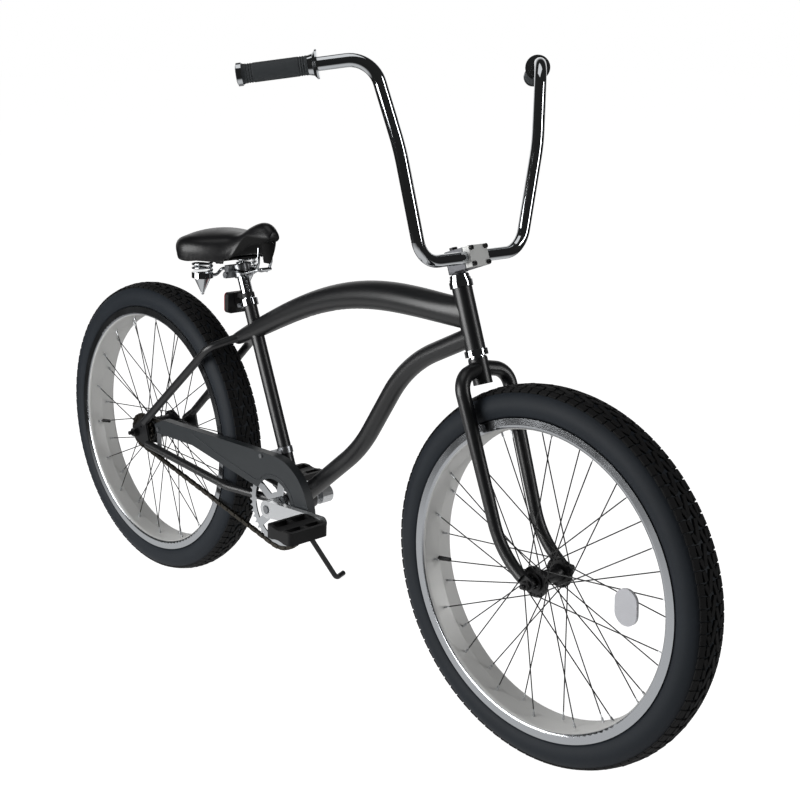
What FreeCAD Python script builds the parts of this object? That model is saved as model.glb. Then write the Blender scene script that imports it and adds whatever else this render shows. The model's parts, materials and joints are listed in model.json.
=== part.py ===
import FreeCAD, Part
import math
import os
import re
import Sketcher
from types import SimpleNamespace
from FreeCAD import Matrix, Placement, Rotation, Vector

# A beach cruiser bicycle with a coaster brake, fat tyres and a tall U-shaped handlebar.
# It is built upright about its rear axle, X forward, Y to the rider's left and Z up,
# and then leans to the left on its side stand. Lengths are in millimetres, angles in degrees.

doc = FreeCAD.newDocument("Cruiser")
sheet = doc.addObject("Spreadsheet::Sheet", "Sizes")

sizes = {
    # whole bicycle
    "wheelbase": 1174,
    "lean_angle": 2.46,
    "bracket_drop": 48.4,
    "bar_lean_shift": 50,
    "running_fit": 0.05,
    "rest_gap": 0.3,
    # tyres, inner tubes and rims
    "tyre_radius": 340.4,
    "tyre_width": 84,
    "tyre_wall": 4,
    "tread_width": 66,
    "tread_thickness": 5.5,
    "shoulder_drop": 8,
    "bead_thickness": 6,
    "bead_radius": 279.5,
    "rim_radius": 287,
    "rim_width": 75,
    "rim_wall": 2.5,
    "rim_side_height": 20.5,
    "rim_edge_round": 8.4,
    "rim_crown": 2.6,
    "rim_well_slope": 9,
    "rim_floor_rise": 1,
    "tube_wall": 1.2,
    "valve_radius": 4,
    "valve_length": 44,
    "valve_angle": 190,
    # spokes and nipples
    "spoke_count": 36,
    "spoke_crosses": 3,
    "spoke_diameter": 2.3,
    "spoke_head_diameter": 4.4,
    "spoke_bend": 3.2,
    "spoke_row_offset": 12,
    "nipple_diameter": 4.4,
    "nipple_length": 13,
    "nipple_head_diameter": 6.4,
    "nipple_seat_gap": 1.2,
    # front hub, its axle and bearings
    "front_flange_radius": 28,
    "front_flange_spacing": 66,
    "front_spoke_circle": 24,
    "front_hub_radius": 13,
    "front_hub_end_radius": 17,
    "front_hub_half": 39,
    "hub_waist_rise": 3,
    "hub_axle_gap": 2,
    "flange_thickness": 3.2,
    "front_axle_diameter": 8,
    "front_axle_length": 142,
    "front_spacing": 100,
    "front_ball_circle": 18,
    "hub_ball_diameter": 4.8,
    "front_ball_place": 34,
    "front_hub_balls": 9,
    "front_nut_across": 14,
    "front_nut_height": 8.4,
    "front_washer_radius": 9,
    "washer_thickness": 1.6,
    # rear coaster hub, its axle and driver
    "rear_flange_radius": 34,
    "rear_flange_spacing": 56,
    "rear_spoke_circle": 30,
    "rear_hub_radius": 25,
    "rear_hub_half": 36,
    "rear_hub_end_step": 2,
    "rear_axle_diameter": 9.5,
    "rear_axle_length": 184,
    "rear_spacing": 132,
    "rear_ball_circle": 34,
    "rear_ball_place": 32,
    "rear_hub_balls": 14,
    "rear_nut_across": 17,
    "rear_nut_height": 10.2,
    "rear_washer_radius": 10.5,
    "axle_spacer_wall": 4,
    "expander_half": 20,
    "expander_step": 3,
    "shoe_half": 17,
    "shoe_split": 6,
    "driver_radius": 17,
    "driver_gap": 1,
    "driver_lip": 3,
    "brake_arm_length": 170,
    "brake_arm_thickness": 4,
    "brake_arm_root_radius": 15,
    "brake_arm_end_radius": 7,
    "brake_flange": 3,
    # chain drive
    "chain_pitch": 12.7,
    "chain_links": 110,
    "chainring_teeth": 44,
    "sprocket_teeth": 18,
    "chain_line": 53,
    "roller_diameter": 7.8,
    "roller_seat_gap": 0.25,
    "tooth_height": 3,
    "tooth_thickness": 2.9,
    "tooth_tip_width": 2,
    "roller_hug": 65,
    "link_inner_width": 3.4,
    "link_plate": 1,
    "link_plate_gap": 0.15,
    "link_plate_radius": 4.1,
    "link_pin_diameter": 3.5,
    "link_pin_play": 0.25,
    "link_pin_proud": 0.5,
    # bottom bracket and cranks
    "shell_radius": 22,
    "shell_bore_radius": 17.6,
    "shell_width": 73,
    "cup_flange_radius": 21,
    "cup_flange_width": 4,
    "spindle_radius": 8.4,
    "spindle_square": 12.7,
    "spindle_length": 148,
    "spindle_square_length": 25,
    "spindle_gap": 1,
    "bracket_ball_circle": 23,
    "bracket_ball_diameter": 6,
    "bracket_ball_place": 30,
    "bracket_balls": 9,
    "crank_length": 165,
    "crank_angle": 6,
    "crank_inner_face": 71,
    "crank_thickness": 13,
    "crank_boss_radius": 19,
    "crank_neck_radius": 16,
    "crank_end_radius": 12,
    "crank_edge": 1,
    "crank_neck_overlap": 0.5,
    "crank_socket_radius": 10,
    "crank_socket_depth": 3,
    "crank_bolt_diameter": 8,
    "crank_bolt_length": 25,
    "crank_bolt_head": 14,
    "crank_bolt_head_height": 5,
    "spider_arms": 5,
    "spider_arm_width": 18,
    "spider_hub_radius": 30,
    "spider_window_radius": 73,
    # pedals
    "pedal_width": 98,
    "pedal_depth": 74,
    "pedal_height": 26,
    "pedal_corner": 10,
    "pedal_barrel_radius": 11,
    "pedal_rail": 8,
    "pedal_spindle_radius": 5,
    "pedal_thread_radius": 7,
    "pedal_collar": 4,
    "pedal_collar_rim": 1.5,
    "pedal_scoop": 3,
    # head tube, headset and fork
    "head_angle": 69.4,
    "fork_rake": 51,
    "head_tube_start": 413.5,
    "head_tube_length": 113.6,
    "head_tube_diameter": 36.4,
    "head_tube_bore": 30.5,
    "steerer_diameter": 25.4,
    "steerer_bore": 22.3,
    "crown_diameter": 35,
    "crown_height": 47,
    "headset_cup_diameter": 42,
    "headset_cup_height": 11,
    "headset_ball_circle": 32,
    "headset_ball_diameter": 4,
    "headset_balls": 18,
    "headset_insert": 8,
    "headset_seat_depth": 3,
    "steerer_gap": 0.7,
    "steerer_thread": 13,
    "race_lip": 2.5,
    "top_race_step": 2,
    "top_race_height": 4.5,
    "locknut_step": 3.5,
    "locknut_height": 7.5,
    "locknut_chamfer": 1.8,
    "blade_top_diameter": 28,
    "blade_tip_diameter": 22,
    "blade_wall": 1.8,
    "blade_spread": 62,
    "blade_shoulder_drop": 30,
    "blade_shoulder_bend": 34,
    "blade_bend_radius": 160,
    "blade_bend_angle": 38,
    "blade_tip_gap": 15,
    "blade_crown_inset": 2,
    "fork_tongue_length": 21,
    "fork_tongue_radius": 7,
    "fork_dropout_radius": 13,
    "dropout_thickness": 5,
    "small_bolt_diameter": 5,
    "small_bolt_head": 8,
    "small_bolt_head_height": 4,
    "clip_sheet": 2,
    # frame tubes
    "seat_angle": 67.5,
    "seat_tube_length": 438,
    "seat_tube_diameter": 28.6,
    "seat_tube_bore": 25.5,
    "tube_wall_thickness": 1.8,
    "top_tube_joint": 65,
    "top_tube_diameter": 56,
    "top_tube_head_width": 34,
    "top_tube_bow": 320,
    "top_tube_rise": 4,
    "top_tube_bend_radius": 760,
    "top_tube_seat_diameter": 37,
    "top_tube_seat_joint": 372,
    "tail_length": 68,
    "tail_height": 26,
    "tail_width": 32,
    "down_tube_diameter": 35.6,
    "down_tube_joint": 25,
    "down_tube_upper_angle": 27,
    "down_tube_lower_angle": 40.4,
    "down_tube_upper_run": 181,
    "down_tube_lower_run": 253,
    "down_tube_upper_bend": 280,
    "down_tube_lower_bend": 330,
    "seat_stay_diameter": 18,
    "chain_stay_diameter": 18,
    "stay_wall": 1.5,
    "stay_spread": 58,
    "seat_stay_bend": 40,
    "seat_stay_rise": 246,
    "seat_stay_reach": 263,
    "chain_stay_reach": 325,
    "chain_stay_drop": 51,
    "chain_stay_spread": 54,
    "chain_stay_bend": 120,
    "chain_stay_bracket_offset": 24,
    "chain_stay_end_ahead": 40,
    "chain_stay_end_drop": 21,
    "seat_stay_end_ahead": 27,
    "seat_stay_end_rise": 29,
    "rear_dropout_radius": 17,
    "eyelet_ahead": 18,
    "eyelet_rise": 16,
    "seat_clamp_height": 14,
    "seat_clamp_diameter": 37,
    "seat_lug_depth": 9,
    "seat_lug_half": 9,
    "seat_slit": 2,
    # chain guard
    "guard_offset": 63.5,
    "guard_sheet": 1.5,
    "guard_depth": 18,
    "guard_radius": 112,
    "guard_hole_radius": 61,
    "guard_reach": 400,
    "guard_top_rise": 97,
    "guard_tip_reach": 432,
    "guard_tip_rise": 80,
    "guard_heel_rise": 62,
    "guard_belly_reach": 286,
    "guard_belly_rise": 65,
    "guard_clip_height": 110,
    "guard_clip_width": 14,
    "guard_arm_height": 8,
    "guard_tip_slant": 6,
    "guard_front_angle": -6,
    "guard_hole_angle": 150,
    "guard_screw_inset": 14,
    "guard_screw_head": 9.5,
    "guard_screw_head_height": 2.5,
    "guard_tab_thickness": 3,
    "guard_tab_radius": 7,
    # stem and handlebar
    "quill_diameter": 22.2,
    "quill_length": 86,
    "stem_reach": 42,
    "stem_height": 40,
    "stem_clearance": 1.5,
    "stem_bar_height": 20,
    "stem_clamp_width": 46,
    "stem_clamp_gap": 2,
    "faceplate_thickness": 16,
    "faceplate_height": 37,
    "stem_bolt_diameter": 5,
    "stem_bolt_head": 8.5,
    "stem_bolt_head_height": 4,
    "stem_bolt_gap": 0.5,
    "stem_key": 3.5,
    "stem_key_depth": 2.5,
    "stem_column_wall": 6.4,
    "expander_bolt_diameter": 7,
    "expander_head": 13,
    "expander_head_height": 6,
    "wedge_length": 22,
    "wedge_shoulder": 15,
    "wedge_taper": 3,
    "bar_diameter": 22.2,
    "bar_wall": 1.8,
    "bar_bottom_half": 126,
    "bar_middle_half": 173,
    "bar_top_half": 209,
    "bar_end_half": 362,
    "bar_middle_rise": 189,
    "bar_top_rise": 333,
    "bar_end_rise": 299,
    "bar_middle_back": 13,
    "bar_top_back": 46,
    "bar_end_back": 193,
    "bar_corner_bend": 50,
    "bar_middle_bend": 320,
    "grip_length": 128,
    "grip_diameter": 31,
    "grip_end_diameter": 34,
    "grip_flange_diameter": 47,
    "grip_cap": 4,
    "grip_end_length": 6,
    "grip_end_slope": 3,
    "grip_collar_length": 16,
    "grip_collar_rise": 2,
    "grip_flange_thickness": 3,
    "end_ring_wall": 1.5,
    "end_ring_width": 8,
    # seatpost and saddle
    "seatpost_diameter": 25.4,
    "seatpost_wall": 2.2,
    "seatpost_insert": 120,
    "seatpost_rise": 74,
    "saddle_base_height": 26,
    "saddle_length": 244,
    "saddle_nose_reach": 112,
    "saddle_width": 200,
    "saddle_skirt": 10,
    "saddle_crown": 60,
    "saddle_hinge_setback": 33,
    "pan_nose_setback": 42,
    "pan_nose_radius": 14,
    "pan_rear_radius": 24,
    "rail_diameter": 7,
    "rail_spread": 22,
    "rail_rise": 3,
    "rail_nose_inset": 6,
    "rail_ramp": 40,
    "rail_rear_bend": 38,
    "rail_rear_radius": 10.5,
    "spring_coil_radius": 20,
    "spring_wire_diameter": 5.2,
    "spring_turns": 2.5,
    "spring_spread": 58,
    "spring_setback": 60,
    "spring_height": 26.4,
    "bullet_length": 46,
    "bullet_cup_height": 12.6,
    "bullet_neck_step": 4.6,
    "bullet_point_radius": 3,
    "bullet_tip_radius": 3.6,
    "saddle_clamp_half": 12,
    "saddle_clamp_wall": 4.5,
    "clamp_beam_depth": 14,
    "clamp_beam_overhang": 8,
    "clamp_beam_drop": 14,
    "clamp_beam_rise": 9,
    "clamp_beam_setback": 20,
    "clamp_nut_across": 13,
    "clamp_nut_height": 5,
    "clamp_nut_ahead": 7,
    "clamp_nut_rise": 6,
    "pan_thickness": 4,
    # reflectors
    "reflector_setback": 34,
    "reflector_width": 52,
    "reflector_height": 44,
    "reflector_depth": 12,
    "reflector_drop": 20,
    "reflector_corner": 8,
    "reflector_lens": 2,
    "reflector_band_height": 10,
    "reflector_band_gap": 3,
    "reflector_arm_width": 10,
    "reflector_arm_height": 8,
    "reflector_plate_width": 14,
    "reflector_plate_height": 26,
    "reflector_plate": 3,
    "wheel_reflector_place": 185,
    "wheel_reflector_angle": 4,
    "wheel_reflector_length": 64,
    "wheel_reflector_height": 44,
    "wheel_reflector_offset": 19.7,
    "wheel_reflector_thickness": 6,
    # side stand
    "stand_leg_diameter": 12,
    "stand_pivot_back": 240,
    "stand_pivot_side": 85,
    "stand_pivot_rise": 19,
    "stand_foot_side": 225,
    "stand_foot_back": 124,
    "stand_tip_length": 30.4,
    "stand_fold_side": 10,
    "stand_fold_reach": 310,
    "stand_tip_back": 9.6,
    "stand_eye_radius": 10.5,
    "stand_eye_half": 7,
    "stand_pin_radius": 5,
    "stand_lug_length": 20,
    "stand_cap_radius": 8,
    "stand_cap_height": 3,
    "stand_clamp_length": 28,
    "stand_clamp_wall": 4,
    "stand_ear_height": 16,
    "stand_ear_thickness": 5,
    "stand_slit": 3,
}

for row, (name, value) in enumerate(sizes.items(), 1):
    sheet.set(f"A{row}", name)
    sheet.set(f"B{row}", str(value))
    sheet.setAlias(f"B{row}", name)
doc.recompute()
v = SimpleNamespace(**{name: float(sheet.get(name)) for name in sizes})

subparts = []
origin = Vector(0, 0, 0)
along_x = Vector(1, 0, 0)
along_y = Vector(0, 1, 0)
along_z = Vector(0, 0, 1)


# Where things are

def chain_loop_length(distance):
    big = v.chainring_teeth * v.chain_pitch / (2 * math.pi)
    small = v.sprocket_teeth * v.chain_pitch / (2 * math.pi)
    tilt = math.asin((big - small) / distance)
    runs = 2 * distance * math.cos(tilt)
    return runs + big * (math.pi + 2 * tilt) + small * (math.pi - 2 * tilt)


def chain_distance():
    # The axle slides in its slots until the whole number of links is taut.
    distance = v.chain_links * v.chain_pitch / 3
    for step in range(60):
        distance -= (chain_loop_length(distance) - v.chain_links * v.chain_pitch) / 2
    return distance


rear_axle = Vector(0, 0, v.tyre_radius)
front_axle = Vector(v.wheelbase, 0, v.tyre_radius)
axle_distance = chain_distance()
bracket = rear_axle + Vector(math.sqrt(axle_distance ** 2 - v.bracket_drop ** 2), 0, -v.bracket_drop)

head_up = Vector(-math.cos(math.radians(v.head_angle)), 0, math.sin(math.radians(v.head_angle)))
head_ahead = Vector(math.sin(math.radians(v.head_angle)), 0, math.cos(math.radians(v.head_angle)))
steer_foot = front_axle - head_ahead * v.fork_rake
seat_up = Vector(-math.cos(math.radians(v.seat_angle)), 0, math.sin(math.radians(v.seat_angle)))

# The whole bicycle leans to the left about the line where its tyres meet the ground.
lean = Rotation(along_x, -v.lean_angle)
tread_crown = (v.tread_width ** 2 / 4 + v.shoulder_drop ** 2) / (2 * v.shoulder_drop)
contact_lift = tread_crown * (1 - math.cos(math.radians(v.lean_angle)))
stand = Placement(Vector(-v.wheelbase / 2, -v.bar_lean_shift, contact_lift), lean)


def steer_point(ahead, side, up):
    return steer_foot + head_ahead * ahead + along_y * side + head_up * up


def on_ground(forward, side, height):
    # The upright place of a point that stands at a height above the ground after the lean.
    slope = math.radians(v.lean_angle)
    rise = (height - contact_lift + side * math.sin(slope)) / math.cos(slope)
    return Vector(forward, side, rise)


# Ways of making pieces

def cells(text):
    # Writes the sheet's names in a formula as references to its cells.
    def reference(word):
        return "Sizes." + word.group() if word.group() in sizes else word.group()
    return re.sub(r"[a-z][a-z_]*", reference, text)


def bind(item, name, formula):
    item.setExpression(name, cells(formula))


def axis_frame(place, direction):
    return Placement(place, Rotation(along_z, direction))


def seat(item, frame):
    item.Placement = stand.multiply(frame)
    return item


def turned(label, corners):
    # A turned piece about its own Z axis. Each corner is a pair of formulas, radius and height.
    body = doc.addObject("PartDesign::Body", label)
    sketch = body.newObject("Sketcher::SketchObject", label + "_outline")
    plane = [item for item in body.Origin.OriginFeatures if item.Role == "XZ_Plane"][0]
    sketch.AttachmentSupport = (plane, "")
    sketch.MapMode = "FlatFace"
    count = len(corners)
    start = [Vector(3 + math.cos(2 * math.pi * i / count), math.sin(2 * math.pi * i / count), 0)
             for i in range(count)]
    for i in range(count):
        sketch.addGeometry(Part.LineSegment(start[i], start[(i + 1) % count]), False)
    for i in range(count):
        sketch.addConstraint(Sketcher.Constraint("Coincident", i, 2, (i + 1) % count, 1))
    for i, (radius, height) in enumerate(corners):
        if radius == "0":
            sketch.addConstraint(Sketcher.Constraint("PointOnObject", i, 1, -2))
        else:
            index = sketch.addConstraint(Sketcher.Constraint("DistanceX", -1, 1, i, 1, start[i].x))
            bind(sketch, f"Constraints[{index}]", radius)
        index = sketch.addConstraint(Sketcher.Constraint("DistanceY", -1, 1, i, 1, start[i].y))
        bind(sketch, f"Constraints[{index}]", height)
    turn = body.newObject("PartDesign::Revolution", label + "_turn")
    turn.Profile = sketch
    turn.ReferenceAxis = (sketch, ["V_Axis"])
    turn.Angle = 360
    return body


def sleeve(label, outer, inner, low, high):
    return turned(label, [(inner, low), (outer, low), (outer, high), (inner, high)])


def feature(label, shape):
    item = doc.addObject("Part::Feature", label)
    item.Shape = shape
    item.Placement = stand.multiply(shape.Placement)
    return item


def cut(label, base, *tools):
    for i, tool in enumerate(tools):
        item = doc.addObject("Part::Cut", label if i == len(tools) - 1 else f"{label}_cut_{i}")
        item.Base = base
        item.Tool = tool
        base = item
    return base


def fuse(label, *items):
    item = doc.addObject("Part::MultiFuse", label)
    item.Shapes = list(items)
    item.Refine = False
    return item


def group(label, *items):
    item = doc.addObject("Part::Compound", label)
    item.Links = list(items)
    return item


def mirrored(label, source):
    item = doc.addObject("Part::Mirroring", label)
    item.Source = source
    item.Base = stand.multVec(origin)
    item.Normal = lean.multVec(along_y)
    return item


def pair(label, source):
    return group(label, source, mirrored(label + "_mirrored", source))


def keep(item, label):
    item.Label = label
    subparts.append(item)
    return item


def box(length, width, height, frame):
    item = doc.addObject("Part::Box", "block")
    bind(item, "Length", length)
    bind(item, "Width", width)
    bind(item, "Height", height)
    return seat(item, frame)


def bar(radius, height, frame):
    item = doc.addObject("Part::Cylinder", "bar")
    bind(item, "Radius", radius)
    bind(item, "Height", height)
    return seat(item, frame)


def bent_path(points, radii):
    # Straight runs between the points, joined at each inner point by an arc of its radius.
    edges = []
    start = points[0]
    for before, corner, after, radius in zip(points, points[1:], points[2:], radii):
        back = (before - corner).normalize()
        ahead = (after - corner).normalize()
        half = back.getAngle(ahead) / 2
        middle = (back + ahead).normalize()
        arc_start = corner + back * (radius / math.tan(half))
        arc_end = corner + ahead * (radius / math.tan(half))
        arc_middle = corner + middle * (radius / math.sin(half) - radius)
        edges.append(Part.LineSegment(start, arc_start).toShape())
        edges.append(Part.Arc(arc_start, arc_middle, arc_end).toShape())
        start = arc_end
    edges.append(Part.LineSegment(start, points[-1]).toShape())
    return Part.Wire(edges)


def ring_wire(place, normal, radius):
    return Part.Wire(Part.Circle(place, normal, radius).toShape())


def rod(path, radius):
    first = path.Edges[0]
    start = first.valueAt(first.FirstParameter)
    direction = first.tangentAt(first.FirstParameter)
    return path.makePipe(Part.Face(ring_wire(start, direction, radius)))


def tapered_rod(path, start_radius, end_radius):
    first = path.Edges[0]
    last = path.Edges[-1]
    low = first.FirstParameter
    high = last.LastParameter
    start = ring_wire(first.valueAt(low), first.tangentAt(low), start_radius)
    end = ring_wire(last.valueAt(high), last.tangentAt(high), end_radius)
    return path.makePipeShell([start, end], True, False)


def tube(path, radius, wall):
    return rod(path, radius).cut(rod(path, radius - wall))


def solid_bar(start, end, radius):
    return Part.makeCylinder(radius, (end - start).Length, start, end - start)


def hull_face(circles):
    # The face round a loop of circles, (centre, radius) each, listed in turn from X towards Z.
    angles = []
    for (here, radius), (there, other) in zip(circles, circles[1:] + circles[:1]):
        gap = there - here
        angles.append(math.atan2(gap.z, gap.x) - math.acos((radius - other) / gap.Length))

    def rim_point(circle, angle):
        return circle[0] + Vector(math.cos(angle), 0, math.sin(angle)) * circle[1]
    edges = []
    for i, circle in enumerate(circles):
        arrive = angles[i - 1]
        leave = angles[i]
        middle = arrive + (leave - arrive) % (2 * math.pi) / 2
        edges.append(Part.Arc(rim_point(circle, arrive), rim_point(circle, middle),
                              rim_point(circle, leave)).toShape())
        following = circles[(i + 1) % len(circles)]
        edges.append(Part.LineSegment(rim_point(circle, leave), rim_point(following, leave)).toShape())
    return Part.Face(Part.Wire(edges))


def plate(circles, low, high):
    # A plate of that outline between two distances along Y.
    solid = hull_face(circles).extrude(Vector(0, high - low, 0))
    solid.translate(Vector(0, low, 0))
    return solid


def hexagon(across, height, bore, place, direction):
    corners = [Vector(across / math.sqrt(3) * math.cos(math.pi * i / 3),
                      across / math.sqrt(3) * math.sin(math.pi * i / 3), 0) for i in range(7)]
    solid = Part.Face(Part.makePolygon(corners)).extrude(Vector(0, 0, height))
    if bore:
        solid = solid.cut(Part.makeCylinder(bore, height))
    solid.Placement = axis_frame(place, direction)
    return solid


def small_bolt_head(place, direction):
    return hexagon(v.small_bolt_head, v.small_bolt_head_height, 0, place, direction)


def ball_ring(place, direction, circle, ball, count):
    # One bearing's loose balls.
    frame = axis_frame(place, direction)
    balls = []
    for i in range(int(count)):
        angle = 2 * math.pi * i / count
        spot = Vector(circle / 2 * math.cos(angle), circle / 2 * math.sin(angle), 0)
        balls.append(Part.makeSphere(ball / 2, frame.multVec(spot)))
    return Part.makeCompound(balls)


def moved(shape, place):
    copy = shape.copy()
    copy.translate(place)
    return copy


def mirror_shape(shape):
    return shape.mirror(origin, along_y)


# Wheels, each built about the origin with its axle along Y

def section(points):
    # A closed section in the wheel's radial plane; a triple of points is an arc.
    edges = []
    for item in points:
        if len(item) == 3:
            edges.append(Part.Arc(*[Vector(0, a, b) for a, b in item]).toShape())
        else:
            edges.append(Part.LineSegment(*[Vector(0, a, b) for a, b in item]).toShape())
    return Part.Face(Part.Wire(edges))


def tyre_solid():
    side = v.rim_width / 2 - v.rim_wall - v.rest_gap
    foot = v.bead_radius + v.rest_gap
    lip = v.rim_radius + v.rest_gap
    wide = v.tyre_width / 2
    middle = (lip + v.tyre_radius - v.shoulder_drop) / 2
    shoulder = v.tread_width / 2
    edge = v.tyre_radius - v.shoulder_drop
    inside = side - v.bead_thickness
    inner_wide = wide - v.tyre_wall
    inner_shoulder = shoulder - v.tyre_wall
    inner_edge = edge - v.tyre_wall
    inner_crown = v.tyre_radius - v.tread_thickness
    face = section([
        ((side, foot), (side, lip)),
        ((side, lip), (wide, middle), (shoulder, edge)),
        ((shoulder, edge), (0, v.tyre_radius), (-shoulder, edge)),
        ((-shoulder, edge), (-wide, middle), (-side, lip)),
        ((-side, lip), (-side, foot)),
        ((-side, foot), (-inside, foot)),
        ((-inside, foot), (-inside, lip)),
        ((-inside, lip), (-inner_wide, middle), (-inner_shoulder, inner_edge)),
        ((-inner_shoulder, inner_edge), (0, inner_crown), (inner_shoulder, inner_edge)),
        ((inner_shoulder, inner_edge), (inner_wide, middle), (inside, lip)),
        ((inside, lip), (inside, foot)),
        ((inside, foot), (side, foot)),
    ])
    return face.revolve(origin, along_y, 360)


def rim_hub_face():
    return v.rim_radius - v.rim_side_height - v.rim_crown


def rim_floor(side):
    # The radius of the rim well at a distance from the middle.
    well = v.rim_width / 2 - v.rim_wall - v.bead_thickness - v.rim_well_slope
    return rim_hub_face() + v.rim_wall + (v.rim_crown + v.rim_floor_rise) * abs(side) / well


def rim_blank():
    half = v.rim_width / 2
    inner = half - v.rim_wall
    flat = v.rim_radius - v.rim_side_height
    round_ = v.rim_edge_round
    slant = round_ * (1 - math.sqrt(0.5))
    shelf = inner - v.bead_thickness - v.rest_gap
    well = shelf - v.rim_well_slope + v.rest_gap
    face = section([
        ((inner, v.rim_radius), (half, v.rim_radius)),
        ((half, v.rim_radius), (half, flat + round_)),
        ((half, flat + round_), (half - slant, flat + slant), (half - round_, flat)),
        ((half - round_, flat), (0, rim_hub_face())),
        ((0, rim_hub_face()), (-half + round_, flat)),
        ((-half + round_, flat), (-half + slant, flat + slant), (-half, flat + round_)),
        ((-half, flat + round_), (-half, v.rim_radius)),
        ((-half, v.rim_radius), (-inner, v.rim_radius)),
        ((-inner, v.rim_radius), (-inner, v.bead_radius)),
        ((-inner, v.bead_radius), (-shelf, v.bead_radius)),
        ((-shelf, v.bead_radius), (-well, rim_floor(well))),
        ((-well, rim_floor(well)), (0, rim_floor(0))),
        ((0, rim_floor(0)), (well, rim_floor(well))),
        ((well, rim_floor(well)), (shelf, v.bead_radius)),
        ((shelf, v.bead_radius), (inner, v.bead_radius)),
        ((inner, v.bead_radius), (inner, v.rim_radius)),
    ])
    return face.revolve(origin, along_y, 360)


def valve_direction():
    angle = math.radians(v.valve_angle)
    return Vector(math.cos(angle), 0, math.sin(angle))


def inner_tube_solid():
    top = v.tyre_radius - v.tread_thickness - 2 * v.rest_gap
    bottom = v.bead_radius + v.rest_gap
    middle = Vector(0, 0, (top + bottom) / 2)
    tall = (top - bottom) / 2
    wide = tall + v.bead_thickness

    def ring(inset):
        oval = Part.Ellipse(middle + along_y * (wide - inset), middle + along_z * (tall - inset), middle)
        return Part.Face(Part.Wire(oval.toShape())).revolve(origin, along_y, 360)
    hose = ring(0).cut(ring(v.tube_wall))
    foot = valve_direction() * (bottom + v.tube_wall / 2)
    return hose.fuse(solid_bar(foot, foot - valve_direction() * v.valve_length, v.valve_radius))


class Spoke:
    # One spoke: it hooks through the hub flange and runs to its nipple in the rim.
    def __init__(self, side, step, leading, flange, circle):
        pitch = 720 / v.spoke_count
        angle = 2 * pitch * step + (0 if leading else pitch) + (pitch / 2 if side < 0 else 0)
        reach = pitch * v.spoke_crosses * (1 if leading else -1)
        outside = side if leading else -side
        hub = Vector(math.cos(math.radians(angle)), 0, math.sin(math.radians(angle))) * circle
        rim = math.radians(angle + reach)
        seat_radius = rim_floor(v.spoke_row_offset) + v.nipple_seat_gap
        self.end = Vector(math.cos(rim), 0, math.sin(rim)) * seat_radius + along_y * side * v.spoke_row_offset
        self.hub = hub + along_y * side * flange
        face = v.flange_thickness / 2 + v.rest_gap
        self.head = self.hub - along_y * outside * face
        self.corner = self.hub + along_y * outside * (face + v.spoke_bend - v.spoke_diameter / 4)
        self.direction = (self.end - self.corner).normalize()
        self.outside = outside

    def solid(self):
        path = bent_path([self.head, self.corner, self.end], [v.spoke_bend])
        head = solid_bar(self.head, self.head - along_y * self.outside * v.spoke_diameter / 2,
                         v.spoke_head_diameter / 2)
        return rod(path, v.spoke_diameter / 2).fuse(head).removeSplitter()

    def nipple(self):
        foot = self.end - self.direction * v.nipple_length
        body = solid_bar(foot, self.end, v.nipple_diameter / 2)
        head = solid_bar(self.end, self.end + self.direction * v.nipple_head_diameter / 2,
                         v.nipple_head_diameter / 2)
        bore = solid_bar(foot, self.end + self.direction * v.nipple_head_diameter,
                         v.spoke_diameter / 2 + v.running_fit)
        return body.fuse(head).cut(bore).removeSplitter()

    def rim_hole(self):
        reach = self.direction * v.nipple_length
        return solid_bar(self.end - reach, self.end + reach, v.nipple_diameter / 2 + v.running_fit * 2)

    def flange_hole(self):
        reach = along_y * v.flange_thickness
        return solid_bar(self.hub - reach, self.hub + reach, v.spoke_diameter / 2 + v.running_fit * 2)


def wheel_spokes(flange_spacing, circle):
    return [Spoke(side, step, leading, flange_spacing / 2, circle)
            for side in (1, -1)
            for step in range(int(v.spoke_count / 4))
            for leading in (True, False)]


def build_wheel(name, axle, spokes, hub_blank):
    keep(feature(name + "_tyre", moved(tyre_solid(), axle)), name + "_tyre")
    keep(feature(name + "_inner_tube", moved(inner_tube_solid(), axle)), name + "_inner_tube")
    hole = solid_bar(valve_direction() * v.rim_radius, valve_direction() * (rim_hub_face() - v.valve_length),
                     v.valve_radius + v.rest_gap)
    holes = [spoke.rim_hole() for spoke in spokes] + [hole]
    rim = rim_blank().cut(holes)
    keep(feature(name + "_rim", moved(rim, axle)), name + "_rim")
    wires = [spoke.solid() for spoke in spokes] + [spoke.nipple() for spoke in spokes]
    keep(feature(name + "_spokes", moved(Part.makeCompound(wires), axle)), name + "_spokes")
    drills = feature(name + "_hub_holes",
                     moved(Part.makeCompound([spoke.flange_hole() for spoke in spokes]), axle))
    keep(cut(name + "_hub_drilled", hub_blank, drills), name + "_hub")


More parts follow.
